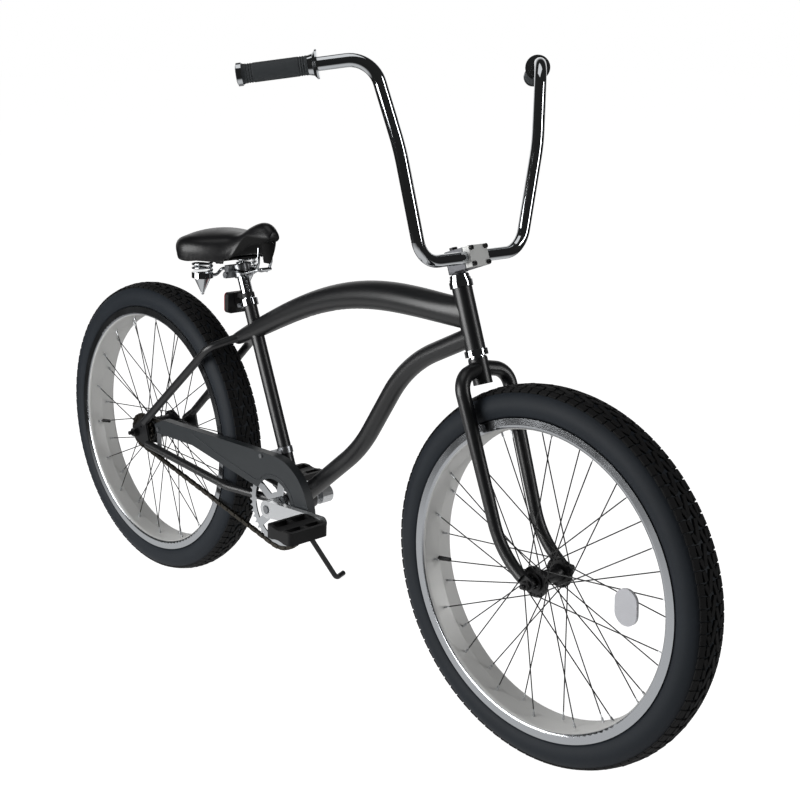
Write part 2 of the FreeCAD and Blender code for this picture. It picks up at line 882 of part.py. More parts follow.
def build_front_wheel():
    flange = "front_flange_spacing / 2"
    near = "(front_flange_spacing - flange_thickness) / 2"
    far = "(front_flange_spacing + flange_thickness) / 2"
    cup = "(front_ball_circle + hub_ball_diameter) / 2 + running_fit"
    seat_low = "front_ball_place - hub_ball_diameter"
    barrel = "front_axle_diameter / 2 + hub_axle_gap"
    hub = turned("front_hub_blank", [
        (cup, "-front_hub_half"), ("front_hub_end_radius", "-front_hub_half"),
        ("front_hub_end_radius", f"-{far}"), ("front_flange_radius", f"-{far}"),
        ("front_flange_radius", f"-{near}"), ("front_hub_radius + hub_waist_rise", f"-{near}"),
        ("front_hub_radius", f"-{flange} / 2"), ("front_hub_radius", f"{flange} / 2"),
        ("front_hub_radius + hub_waist_rise", near), ("front_flange_radius", near),
        ("front_flange_radius", far), ("front_hub_end_radius", far),
        ("front_hub_end_radius", "front_hub_half"), (cup, "front_hub_half"),
        (cup, seat_low), (barrel, seat_low), (barrel, f"-({seat_low})"), (cup, f"-({seat_low})"),
    ])
    seat(hub, axis_frame(front_axle, along_y))
    spokes = wheel_spokes(v.front_flange_spacing, v.front_spoke_circle)
    build_wheel("front", front_axle, spokes, hub)
    bearings = [moved(ball_ring(along_y * side * v.front_ball_place, along_y,
                                v.front_ball_circle, v.hub_ball_diameter, v.front_hub_balls), front_axle)
                for side in (1, -1)]
    keep(feature("front_hub_bearings", Part.makeCompound(bearings)), "front_hub_bearings")
    build_spoke_reflector()


def build_spoke_reflector():
    # An oval reflector clipped to the outside of the right-hand spokes.
    angle = math.radians(v.wheel_reflector_angle)
    out = Vector(math.cos(angle), 0, math.sin(angle))
    across = Vector(-out.z, 0, out.x)
    end = v.wheel_reflector_height / 2
    reach = across * (v.wheel_reflector_length / 2 - end)
    middle = front_axle + out * v.wheel_reflector_place
    low = -v.wheel_reflector_offset - v.wheel_reflector_thickness
    oval = plate([(middle - reach, end), (middle + reach, end)], low, -v.wheel_reflector_offset)
    keep(feature("spoke_reflector", oval), "spoke_reflector")


def build_rear_wheel():
    near = "(rear_flange_spacing - flange_thickness) / 2"
    far = "(rear_flange_spacing + flange_thickness) / 2"
    bore = "(rear_ball_circle + hub_ball_diameter) / 2 + running_fit"
    hub = turned("rear_hub_blank", [
        (bore, "-rear_hub_half"), ("rear_hub_radius - rear_hub_end_step", "-rear_hub_half"),
        ("rear_hub_radius", f"-{far}"), ("rear_flange_radius", f"-{far}"),
        ("rear_flange_radius", f"-{near}"), ("rear_hub_radius", f"-{near}"),
        ("rear_hub_radius", near), ("rear_flange_radius", near), ("rear_flange_radius", far),
        ("rear_hub_radius", far), ("rear_hub_radius - rear_hub_end_step", "rear_hub_half"),
        (bore, "rear_hub_half"),
    ])
    seat(hub, axis_frame(rear_axle, along_y))
    spokes = wheel_spokes(v.rear_flange_spacing, v.rear_spoke_circle)
    build_wheel("rear", rear_axle, spokes, hub)
    bearings = [moved(ball_ring(along_y * side * v.rear_ball_place, along_y,
                                v.rear_ball_circle, v.hub_ball_diameter, v.rear_hub_balls), rear_axle)
                for side in (1, -1)]
    keep(feature("rear_hub_bearings", Part.makeCompound(bearings)), "rear_hub_bearings")


# Axles

def axle_nuts(axle, spacing, axle_diameter, across, height, washer_radius):
    # A washer and a nut outside each dropout.
    face = spacing / 2 + v.dropout_thickness
    bore = axle_diameter / 2 + v.running_fit
    place = axle + along_y * face
    washer = Part.makeCylinder(washer_radius, v.washer_thickness, place, along_y)
    washer = washer.cut(Part.makeCylinder(bore, v.washer_thickness, place, along_y))
    nut = hexagon(across, height, bore, place + along_y * v.washer_thickness, along_y)
    return Part.makeCompound([washer, nut, mirror_shape(washer), mirror_shape(nut)])


def build_front_axle():
    rod_frame = axis_frame(front_axle - along_y * v.front_axle_length / 2, along_y)
    spindle = bar("front_axle_diameter / 2", "front_axle_length", rod_frame)
    bore = "front_axle_diameter / 2 + running_fit"
    race = "(front_ball_circle - hub_ball_diameter) / 2 - running_fit"
    low = "front_ball_place - hub_ball_diameter + rest_gap"
    collar = "front_hub_half + rest_gap"
    wide = f"{race} + hub_axle_gap"
    cone = turned("front_cone", [
        (bore, low), (race, low), (race, collar), (wide, collar),
        (wide, "front_spacing / 2"), (bore, "front_spacing / 2"),
    ])
    seat(cone, axis_frame(front_axle, along_y))
    keep(group("front_axle_set", spindle, cone, mirrored("front_cone_right", cone)), "front_axle")
    nuts = axle_nuts(front_axle, v.front_spacing, v.front_axle_diameter,
                     v.front_nut_across, v.front_nut_height, v.front_washer_radius)
    keep(feature("front_axle_nuts", nuts), "front_axle_nuts")


def build_rear_axle():
    rod_frame = axis_frame(rear_axle - along_y * v.rear_axle_length / 2, along_y)
    spindle = bar("rear_axle_diameter / 2", "rear_axle_length", rod_frame)
    bore = "rear_axle_diameter / 2 + running_fit"
    race = "(rear_ball_circle - hub_ball_diameter) / 2 - running_fit"
    hub_bore = "(rear_ball_circle + hub_ball_diameter) / 2 + running_fit"
    flange = "rear_hub_half + rest_gap"
    arm_face = f"{flange} + brake_flange"
    shoulder = "rear_hub_radius - rear_hub_end_step"
    arm_back = f"{arm_face} + brake_arm_thickness"
    cone = turned("brake_cone", [
        (bore, "rear_ball_place - hub_ball_diameter"), (race, "rear_ball_place - hub_ball_diameter"),
        (race, flange), (shoulder, flange), (shoulder, arm_face), (bore, arm_face),
    ])
    left_spacer = sleeve("left_spacer", f"{bore} + axle_spacer_wall", bore, arm_back, "rear_spacing / 2")
    expander = sleeve("brake_expander", f"{race} - expander_step", bore,
                      "-expander_half", "rear_ball_place - hub_ball_diameter")
    for item in (cone, left_spacer, expander):
        seat(item, axis_frame(rear_axle, along_y))
    right_spacer = sleeve("right_spacer", f"{bore} + axle_spacer_wall", bore,
                          "chain_line + tooth_thickness / 2 + driver_lip + rest_gap", "rear_spacing / 2")
    seat(right_spacer, axis_frame(rear_axle, along_y * -1))
    shoe_ring = sleeve("brake_shoe_ring", f"{hub_bore} - rest_gap", f"{race} - expander_step + running_fit",
                       "-shoe_half", "shoe_half")
    seat(shoe_ring, axis_frame(rear_axle, along_y))
    split_half = Vector(v.rear_hub_radius, v.rear_hub_half, v.shoe_split / 2)
    split = box("rear_hub_radius * 2", "rear_hub_half * 2", "shoe_split",
                Placement(rear_axle - split_half, Rotation()))
    shoes = cut("brake_shoes", shoe_ring, split)
    keep(group("rear_axle_set", spindle, cone, left_spacer, right_spacer, expander, shoes), "rear_axle")
    nuts = axle_nuts(rear_axle, v.rear_spacing, v.rear_axle_diameter,
                     v.rear_nut_across, v.rear_nut_height, v.rear_washer_radius)
    keep(feature("rear_axle_nuts", nuts), "rear_axle_nuts")


def build_brake_arm(stay_path):
    # The coaster brake's reaction arm and the clip that holds it to the left chain stay.
    run = stay_path.Edges[-1]
    direction = run.tangentAt(run.FirstParameter)
    first = run.valueAt(run.FirstParameter)
    middle = first + direction * ((rear_axle.x + v.brake_arm_length - first.x) / direction.x)
    stay_radius = v.chain_stay_diameter / 2 + v.running_fit
    end = Vector(middle.x, 0, middle.z + v.chain_stay_diameter)
    low = v.rear_hub_half + v.rest_gap + v.brake_flange
    high = low + v.brake_arm_thickness
    clip_end = middle.y - v.chain_stay_diameter / 2
    arm = plate([(rear_axle, v.brake_arm_root_radius), (end, v.brake_arm_end_radius)], low, high)
    arm = arm.cut(Part.makeCylinder(v.rear_axle_diameter / 2 + v.running_fit, high, rear_axle, along_y))
    bolt_hole = Part.makeCylinder(v.small_bolt_diameter / 2 + v.running_fit, middle.y, end, along_y)
    clip_width = 2 * v.brake_arm_end_radius
    band = Part.makeCylinder(stay_radius + v.clip_sheet, clip_width,
                             middle - direction * clip_width / 2, direction)
    ear = plate([(Vector(middle.x, 0, middle.z), v.brake_arm_end_radius), (end, v.brake_arm_end_radius)],
                high, clip_end)
    stay = Part.makeCylinder(stay_radius, 4 * clip_width, middle - direction * 2 * clip_width, direction)
    clip = band.fuse(ear).cut(stay).cut(bolt_hole)
    bolt = Part.makeCylinder(v.small_bolt_diameter / 2, clip_end - low, end + along_y * low, along_y)
    bolt = bolt.fuse(small_bolt_head(end + along_y * clip_end, along_y))
    keep(feature("brake_arm", Part.makeCompound([arm.cut(bolt_hole), clip, bolt])), "brake_arm")


# Fork, headset and steering

def crown_top():
    return v.head_tube_start - v.headset_cup_height - v.headset_ball_diameter


def build_fork():
    top = "head_tube_start - headset_cup_height - headset_ball_diameter"
    end = "head_tube_start + head_tube_length + headset_cup_height + steerer_thread"
    steerer = turned("fork_steerer_blank", [
        ("steerer_bore / 2", f"{top} - crown_height"), ("crown_diameter / 2", f"{top} - crown_height"),
        ("crown_diameter / 2", top), ("steerer_diameter / 2", top),
        ("steerer_diameter / 2", end), ("steerer_bore / 2", end),
    ])
    keep(seat(steerer, axis_frame(steer_foot, head_up)), "fork_steerer")

    bend = math.radians(v.blade_bend_angle)
    tip_side = (v.front_spacing + v.dropout_thickness) / 2
    tip_end = Vector(math.sin(bend), 0, -math.cos(bend))
    straight = v.blade_tip_gap / 8
    arc_end = Vector(v.fork_rake, 0, 0) - tip_end * (v.blade_tip_gap + straight)
    ahead = arc_end.x - v.blade_bend_radius * (1 - math.cos(bend))
    corner_up = arc_end.z + v.blade_bend_radius * (math.sin(bend) - math.tan(bend / 2))
    tip = arc_end + tip_end * straight
    shoulder_up = crown_top() - v.blade_shoulder_drop
    corner_share = (corner_up - tip.z) / (shoulder_up - tip.z)
    corner_side = tip_side + (v.blade_spread - tip_side) * corner_share
    points = [
        steer_point(0, 0, crown_top() - v.blade_top_diameter / 2 - v.blade_crown_inset),
        steer_point(ahead, v.blade_spread, shoulder_up),
        steer_point(ahead, corner_side, corner_up),
        steer_point(tip.x, tip_side, tip.z),
    ]
    path = bent_path(points, [v.blade_shoulder_bend, v.blade_bend_radius])
    blade = tapered_rod(path, v.blade_top_diameter / 2, v.blade_tip_diameter / 2).cut(
        tapered_rod(path, v.blade_top_diameter / 2 - v.blade_wall, v.blade_tip_diameter / 2 - v.blade_wall))
    crown = Part.makeCylinder(v.crown_diameter / 2, v.crown_height,
                              steer_point(0, 0, crown_top() - v.crown_height), head_up)
    blade_way = head_ahead * tip_end.x + head_up * tip_end.z
    tongue = steer_point(tip.x, 0, tip.z) - blade_way * v.fork_tongue_length
    slot_end = front_axle - along_z * v.front_axle_diameter * 4
    low = v.front_spacing / 2
    high = low + v.dropout_thickness
    slot_radius = v.front_axle_diameter / 2 + v.running_fit
    dropout = plate([(front_axle, v.fork_dropout_radius), (tongue, v.fork_tongue_radius)], low, high)
    dropout = dropout.cut(plate([(front_axle, slot_radius), (slot_end, slot_radius)], low, high))
    blade = blade.cut(crown).cut(dropout)
    blade = max(blade.Solids, key=lambda solid: solid.Volume)
    sides = [blade, dropout, mirror_shape(blade), mirror_shape(dropout)]
    keep(feature("fork_blades", Part.makeCompound(sides)), "fork_blades")


def build_headset():
    cavity = "(headset_ball_circle + headset_ball_diameter) / 2 + running_fit"
    cup = "headset_cup_diameter / 2"
    insert = "head_tube_bore / 2 - running_fit"
    bore = "steerer_diameter / 2 + steerer_gap"
    depth = "headset_ball_diameter + headset_seat_depth"
    low = "head_tube_start"
    high = "(head_tube_start + head_tube_length)"
    lower = turned("lower_cup", [
        (cavity, f"{low} - headset_cup_height"), (cup, f"{low} - headset_cup_height"), (cup, low),
        (insert, low),
        (insert, f"{low} + headset_insert"), (bore, f"{low} + headset_insert"),
        (bore, f"{low} - headset_cup_height + {depth}"),
        (cavity, f"{low} - headset_cup_height + {depth}"),
    ])
    upper = turned("upper_cup", [
        (cavity, f"{high} + headset_cup_height"), (cup, f"{high} + headset_cup_height"), (cup, high),
        (insert, high), (insert, f"{high} - headset_insert"), (bore, f"{high} - headset_insert"),
        (bore, f"{high} + headset_cup_height - ({depth})"),
        (cavity, f"{high} + headset_cup_height - ({depth})"),
    ])
    axis = axis_frame(steer_foot, head_up)
    keep(group("headset_cup_set", seat(lower, axis), seat(upper, axis)), "headset_cups")

    inner = "steerer_diameter / 2 + running_fit / 2"
    track = "(headset_ball_circle - headset_ball_diameter) / 2 - running_fit"
    seat_low = f"{low} - headset_cup_height - headset_ball_diameter"
    crown_race = turned("crown_race", [
        (inner, seat_low), (f"{track} + race_lip", seat_low),
        (f"{track} + race_lip", f"{seat_low} + race_lip"),
        (track, f"{seat_low} + race_lip"), (track, f"{low} - headset_cup_height + {depth} - rest_gap"),
        (inner, f"{low} - headset_cup_height + {depth} - rest_gap"),
    ])
    cap = f"{high} + headset_cup_height + rest_gap"
    nut_low = f"{cap} + top_race_height"
    nut_high = f"{nut_low} + locknut_height"
    nut_side = f"{cup} - locknut_step"
    top_race = turned("top_race", [
        (inner, f"{high} + headset_cup_height - ({depth}) + rest_gap"),
        (track, f"{high} + headset_cup_height - ({depth}) + rest_gap"), (track, cap),
        (f"{cup} - top_race_step", cap), (f"{cup} - top_race_step", nut_low), (inner, nut_low),
    ])
    locknut = turned("locknut", [
        (inner, nut_low), (nut_side, nut_low), (nut_side, f"{nut_high} - locknut_chamfer"),
        (f"{nut_side} - locknut_chamfer", nut_high), (inner, nut_high),
    ])
    races = [seat(item, axis) for item in (crown_race, top_race, locknut)]
    keep(group("headset_race_set", *races), "headset_races")


def steer_frame(ahead, side, up):
    return Placement(steer_point(ahead, side, up), Rotation(head_ahead, along_y, head_up, "ZXY"))


def stem_base():
    return v.head_tube_start + v.head_tube_length + v.headset_cup_height + v.steerer_thread + v.stem_clearance


def bar_centre():
    return steer_point(v.stem_reach, 0, stem_base() + v.stem_bar_height)


def build_stem():
    base = stem_base()
    half = v.stem_clamp_width / 2
    middle = base + v.stem_bar_height
    quill = bar("quill_diameter / 2", "quill_length + stem_height / 2",
                steer_frame(0, 0, base - v.quill_length))
    column = bar("quill_diameter / 2 + stem_column_wall", "stem_height", steer_frame(0, 0, base))
    neck = box("stem_reach - stem_clamp_gap / 2", "stem_clamp_width", "faceplate_height",
               steer_frame(0, -half, middle - v.faceplate_height / 2))
    clamp = bar("bar_diameter / 2 + running_fit", "stem_clamp_width * 2",
                axis_frame(bar_centre() - along_y * v.stem_clamp_width, along_y))
    expander_hole = bar("expander_bolt_diameter / 2 + running_fit", "quill_length + stem_height",
                        steer_frame(0, 0, base - v.quill_length))
    bolt_up = v.bar_diameter / 2 + v.stem_bolt_diameter / 2 + v.stem_bolt_gap
    bolt_side = half - v.stem_bolt_diameter
    face = v.stem_reach + v.faceplate_thickness
    bolts = []
    holes = []
    for side in (-bolt_side, bolt_side):
        for up in (middle - bolt_up, middle + bolt_up):
            start = steer_point(v.stem_reach / 2, side, up)
            end = steer_point(face, side, up)
            holes.append(solid_bar(start, end, v.stem_bolt_diameter / 2 + v.running_fit))
            head = Part.makeCylinder(v.stem_bolt_head / 2, v.stem_bolt_head_height, end, head_ahead)
            socket_foot = end + head_ahead * (v.stem_bolt_head_height - v.stem_key_depth)
            socket = hexagon(v.stem_key, v.stem_key_depth, 0, socket_foot, head_ahead)
            bolts.append(solid_bar(start + head_ahead, end, v.stem_bolt_diameter / 2).fuse(head).cut(socket))
    drills = feature("stem_bolt_holes", Part.makeCompound(holes))
    keep(cut("stem_bored", fuse("stem_blank", quill, column, neck), clamp, expander_hole, drills), "stem")
    front = box("faceplate_thickness - stem_clamp_gap / 2", "stem_clamp_width", "faceplate_height",
                steer_frame(v.stem_reach + v.stem_clamp_gap / 2, -half, middle - v.faceplate_height / 2))
    keep(cut("faceplate_bored", front, clamp, drills), "stem_faceplate")

    wedge_low = base - v.quill_length - v.wedge_length - v.rest_gap
    top = steer_point(0, 0, base + v.stem_height)
    expander = solid_bar(steer_point(0, 0, wedge_low), top, v.expander_bolt_diameter / 2)
    expander = expander.fuse(hexagon(v.expander_head, v.expander_head_height, 0, top, head_up))
    wedge = turned("wedge_blank", [
        ("expander_bolt_diameter / 2 + running_fit", "0"), ("quill_diameter / 2", "0"),
        ("quill_diameter / 2", "wedge_shoulder"), ("quill_diameter / 2 - wedge_taper", "wedge_length"),
        ("expander_bolt_diameter / 2 + running_fit", "wedge_length"),
    ])
    seat(wedge, steer_frame(0, 0, wedge_low))
    screws = feature("stem_screws", Part.makeCompound(bolts + [expander]))
    keep(group("stem_bolt_set", screws, wedge), "stem_bolts")


def bar_points():
    # The left half of the handlebar from the clamp to its end.
    centre = bar_centre()
    return [centre + Vector(0, v.bar_bottom_half, 0),
            centre + Vector(-v.bar_middle_back, v.bar_middle_half, v.bar_middle_rise),
            centre + Vector(-v.bar_top_back, v.bar_top_half, v.bar_top_rise),
            centre + Vector(-v.bar_end_back, v.bar_end_half, v.bar_end_rise)]


def build_handlebar():
    left = bar_points()
    right = [Vector(point.x, -point.y, point.z) for point in left]
    bends = [v.bar_corner_bend, v.bar_middle_bend, v.bar_corner_bend]
    path = bent_path(right[::-1] + left, bends + bends[::-1])
    keep(feature("handlebar", tube(path, v.bar_diameter / 2, v.bar_wall)), "handlebar")

    end = left[-1]
    inward = (left[-2] - end).normalize()
    bore = "bar_diameter / 2 + running_fit"
    barrel_end = "grip_length - grip_collar_length"
    grip = turned("left_grip", [
        ("0", "-grip_cap"), ("grip_end_diameter / 2", "-grip_cap"),
        ("grip_end_diameter / 2", "grip_end_length"),
        ("grip_diameter / 2", "grip_end_length + grip_end_slope"), ("grip_diameter / 2", barrel_end),
        (bore, barrel_end), (bore, "-rest_gap"), ("0", "-rest_gap"),
    ])
    seat(grip, axis_frame(end, inward))
    keep(pair("grip_pair", grip), "grips")
    end_ring = sleeve("end_ring", "grip_end_diameter / 2 + end_ring_wall",
                      "grip_end_diameter / 2 + running_fit",
                      "grip_end_length - end_ring_width", "grip_end_length")
    collar = turned("inner_collar", [
        (bore, barrel_end), ("grip_diameter / 2", barrel_end),
        ("grip_diameter / 2 + grip_collar_rise", "grip_length - grip_collar_length / 2"),
        ("grip_flange_diameter / 2", "grip_length - grip_flange_thickness"),
        ("grip_flange_diameter / 2", "grip_length"), (bore, "grip_length"),
    ])
    for item in (end_ring, collar):
        seat(item, axis_frame(end, inward))
    rings = group("left_grip_rings", end_ring, collar)
    keep(pair("grip_ring_pair", rings), "grip_rings")


# Frame

def seat_point(along):
    return bracket + seat_up * along


def ellipse_wire(place, direction, height, width):
    # An upright ellipse square to a direction in the mid-plane, always begun at its top.
    up = along_y.cross(direction).normalize()
    if up.z < 0:
        up = up * -1
    high = up * (height / 2)
    wide = along_y * (width / 2)
    matrix = Matrix(high.x, wide.x, direction.x, place.x,
                    high.y, wide.y, direction.y, place.y,
                    high.z, wide.z, direction.z, place.z, 0, 0, 0, 1)
    return ring_wire(origin, along_z, 1).transformGeometry(matrix)


def top_tube_path():
    start = steer_point(0, 0, v.head_tube_start + v.top_tube_joint)
    corner = start + Vector(-v.top_tube_bow, 0, v.top_tube_rise)
    crossing = seat_point(v.top_tube_seat_joint)
    end = crossing + (crossing - corner).normalize() * v.tail_length
    return bent_path([start, corner, end], [v.top_tube_bend_radius]), crossing


def top_tube_solid(inset):
    # The backbone: deep and narrow at the head, round over the bow, slim where it meets the seat tube.
    path, crossing = top_tube_path()
    straight, bow, tail = path.Edges
    full = v.top_tube_diameter
    slim = v.top_tube_seat_diameter
    middle = (bow.FirstParameter + bow.LastParameter) / 2
    early_taper = 0.2
    late_taper = 0.6
    end = tail.LastParameter
    cross = tail.FirstParameter + (crossing - tail.valueAt(tail.FirstParameter)).Length
    stations = [
        (straight, straight.FirstParameter, full, v.top_tube_head_width),
        (bow, bow.FirstParameter, full, full),
        (bow, middle, *[full - (full - slim) * early_taper] * 2),
        (bow, bow.LastParameter, *[full - (full - slim) * late_taper] * 2),
        (tail, cross, slim, slim),
        (tail, end - inset, v.tail_height, v.tail_width),
    ]
    wires = [ellipse_wire(edge.valueAt(t), edge.tangentAt(t), height - 2 * inset, width - 2 * inset)
             for edge, t, height, width in stations]
    return Part.makeLoft(wires, True, False)


def build_frame_tubes():
    axis = axis_frame(steer_foot, head_up)
    head = sleeve("head_tube_sleeve", "head_tube_diameter / 2", "head_tube_bore / 2",
                  "head_tube_start", "head_tube_start + head_tube_length")
    keep(seat(head, axis), "head_tube")
    head_core = Part.makeCylinder(v.head_tube_diameter / 2, v.head_tube_length,
                                  steer_point(0, 0, v.head_tube_start), head_up)

    shell = sleeve("shell_sleeve", "shell_radius", "shell_bore_radius", "-shell_width / 2", "shell_width / 2")
    keep(seat(shell, axis_frame(bracket, along_y)), "bottom_bracket_shell")
    shell_end = bracket - along_y * v.shell_width / 2
    shell_core = Part.makeCylinder(v.shell_radius, v.shell_width, shell_end, along_y)

    seat_blank = sleeve("seat_tube_sleeve", "seat_tube_diameter / 2", "seat_tube_bore / 2",
                        "0", "seat_tube_length")
    seat(seat_blank, axis_frame(bracket, seat_up))
    mouth = bar("shell_radius", "shell_width", axis_frame(shell_end, along_y))
    keep(cut("seat_tube_mitred", seat_blank, mouth), "seat_tube")
    seat_core = solid_bar(bracket, seat_point(v.seat_tube_length), v.seat_tube_diameter / 2)

    backbone = top_tube_solid(0)
    top = backbone.cut(top_tube_solid(v.tube_wall_thickness)).cut(head_core).cut(seat_core)
    keep(feature("top_tube", top), "top_tube")

    start = steer_point(0, 0, v.head_tube_start + v.down_tube_joint)
    upper = math.radians(v.down_tube_upper_angle)
    lower = math.radians(v.down_tube_lower_angle)
    path = bent_path([
        start,
        start + Vector(-math.cos(upper), 0, -math.sin(upper)) * v.down_tube_upper_run,
        bracket + Vector(math.cos(lower), 0, math.sin(lower)) * v.down_tube_lower_run,
        bracket,
    ], [v.down_tube_upper_bend, v.down_tube_lower_bend])
    down = tube(path, v.down_tube_diameter / 2, v.tube_wall_thickness)
    down = down.cut(head_core).cut(shell_core).cut(seat_core).cut(backbone)
    keep(feature("down_tube", down), "down_tube")
    return backbone, shell_core


def dropout_places():
    side = (v.rear_spacing + v.dropout_thickness) / 2
    chain_end = rear_axle + Vector(v.chain_stay_end_ahead, side, -v.chain_stay_end_drop)
    seat_end = rear_axle + Vector(v.seat_stay_end_ahead, side, v.seat_stay_end_rise)
    return chain_end, seat_end


def build_stays(backbone, shell_core):
    chain_end, seat_end = dropout_places()
    low = v.rear_spacing / 2
    high = low + v.dropout_thickness
    slot = v.rear_axle_diameter / 2 + v.running_fit
    slot_end = rear_axle - along_x * v.rear_axle_diameter * 4
    eyelet = rear_axle + Vector(v.eyelet_ahead, 0, v.eyelet_rise)
    circles = [(rear_axle, v.rear_dropout_radius),
               (Vector(chain_end.x, 0, chain_end.z), v.chain_stay_diameter / 2),
               (Vector(seat_end.x, 0, seat_end.z), v.seat_stay_diameter / 2)]
    dropout = plate(circles, low, high)
    dropout = dropout.cut(plate([(rear_axle, slot), (slot_end, slot)], low, high))
    dropout = dropout.cut(Part.makeCylinder(v.small_bolt_diameter / 2, high, eyelet, along_y))
    keep(feature("rear_dropouts", Part.makeCompound([dropout, mirror_shape(dropout)])), "rear_dropouts")

    tail = top_tube_path()[0].Edges[-1]
    root = tail.valueAt(tail.LastParameter - v.seat_stay_diameter)
    stay_path = bent_path([
        root + along_y * v.seat_stay_diameter / 4,
        rear_axle + Vector(v.seat_stay_reach, v.stay_spread, v.seat_stay_rise),
        seat_end,
    ], [v.seat_stay_bend])
    stay = tube(stay_path, v.seat_stay_diameter / 2, v.stay_wall).cut(backbone).cut(dropout)
    stay = max(stay.Solids, key=lambda solid: solid.Volume)
    keep(feature("seat_stays", Part.makeCompound([stay, mirror_shape(stay)])), "seat_stays")

    chain_path = bent_path([
        bracket + along_y * v.chain_stay_bracket_offset,
        rear_axle + Vector(v.chain_stay_reach, v.chain_stay_spread, -v.chain_stay_drop),
        chain_end,
    ], [v.chain_stay_bend])
    chain_stay = tube(chain_path, v.chain_stay_diameter / 2, v.stay_wall).cut(shell_core).cut(dropout)
    chain_stay = max(chain_stay.Solids, key=lambda solid: solid.Volume)
    keep(feature("chain_stays", Part.makeCompound([chain_stay, mirror_shape(chain_stay)])), "chain_stays")
    return chain_path


def build_seat_clamp():
    # A split collar on the top of the seat tube, drawn together by a bolt behind it.
    low = v.seat_tube_length - v.seat_clamp_height
    frame = Placement(seat_point(low), Rotation(Vector(seat_up.z, 0, -seat_up.x), along_y, seat_up, "ZXY"))
    ring = bar("seat_clamp_diameter / 2", "seat_clamp_height", frame)
    back = v.seat_clamp_diameter / 2 + v.seat_lug_depth
    lugs = box("seat_clamp_diameter / 2 + seat_lug_depth", "seat_lug_half * 2", "seat_clamp_height",
               frame.multiply(Placement(Vector(-back, -v.seat_lug_half, 0), Rotation())))
    bore = bar("seat_tube_diameter / 2 + running_fit", "seat_clamp_height", frame)
    slit = box("seat_clamp_diameter / 2 + seat_lug_depth", "seat_slit", "seat_clamp_height",
               frame.multiply(Placement(Vector(-back, -v.seat_slit / 2, 0), Rotation())))
    bolt_radius = v.small_bolt_diameter / 2
    bolt_place = frame.multVec(Vector(v.seat_lug_depth / 2 - back, 0, v.seat_clamp_height / 2))
    reach = along_y * v.seat_lug_half
    hole = feature("clamp_bolt_hole", solid_bar(bolt_place - reach, bolt_place + reach,
                                                bolt_radius + v.running_fit))
    keep(cut("seat_clamp_split", fuse("seat_clamp_blank", ring, lugs), bore, slit, hole), "seat_clamp")
    bolt = solid_bar(bolt_place - reach, bolt_place + reach, bolt_radius)
    head = small_bolt_head(bolt_place + reach, along_y)
    return bolt.fuse(head).fuse(mirror_shape(head))


# Bottom bracket, cranks and pedals

def build_bottom_bracket():
    insert = "shell_bore_radius - running_fit"
    cavity = "(bracket_ball_circle + bracket_ball_diameter) / 2 + running_fit"
    inner = "bracket_ball_place - bracket_ball_diameter"
    outer = "bracket_ball_place + bracket_ball_diameter"
    mouth = "spindle_square * sqrt(0.5) + spindle_gap"
    edge = "shell_width / 2"
    cup = turned("bracket_cup", [
        (cavity, inner), (insert, inner), (insert, edge), ("cup_flange_radius", edge),
        ("cup_flange_radius", f"{edge} + cup_flange_width"), (mouth, f"{edge} + cup_flange_width"),
        (mouth, outer), (cavity, outer),
    ])
    seat(cup, axis_frame(bracket, along_y))
    keep(pair("bracket_cup_pair", cup), "bottom_bracket_cups")

    low_ball = v.head_tube_start - v.headset_cup_height + v.headset_ball_diameter
    high_ball = v.head_tube_start + v.head_tube_length + v.headset_cup_height - v.headset_ball_diameter
    rings = [ball_ring(steer_point(0, 0, up), head_up, v.headset_ball_circle, v.headset_ball_diameter,
                       v.headset_balls)
             for up in (low_ball, high_ball)]
    rings += [ball_ring(bracket + along_y * side * v.bracket_ball_place, along_y,
                        v.bracket_ball_circle, v.bracket_ball_diameter, v.bracket_balls) for side in (1, -1)]
    keep(feature("frame_bearings", Part.makeCompound(rings)), "frame_bearings")

    round_end = bracket - along_y * (v.spindle_length / 2 - v.spindle_square_length)
    round_part = bar("spindle_radius", "spindle_length - 2 * spindle_square_length",
                     axis_frame(round_end, along_y))
    half = v.spindle_square / 2
    turn = Rotation(along_y, -v.crank_angle)
    squares = [box("spindle_square", "spindle_square_length", "spindle_square",
                   Placement(bracket + turn.multVec(Vector(-half, foot, -half)), turn))
               for foot in (-v.spindle_length / 2, v.spindle_length / 2 - v.spindle_square_length)]
    thread = feature("spindle_threads", Part.makeCompound(
        [Part.makeCylinder(v.crank_bolt_diameter / 2 + v.running_fit, v.crank_bolt_length,
                           bracket + along_y * side * v.spindle_length / 2, along_y * -side)
         for side in (1, -1)]))
    keep(cut("spindle_drilled", fuse("spindle_blank", round_part, *squares), thread), "crank_spindle")


def crank_end(side):
    # The pedal thread of the right crank, side -1, points forward and the left one back.
    slope = math.radians(v.crank_angle)
    reach = Vector(math.cos(slope), 0, math.sin(slope)) * v.crank_length
    return bracket + (reach if side < 0 else reach * -1)


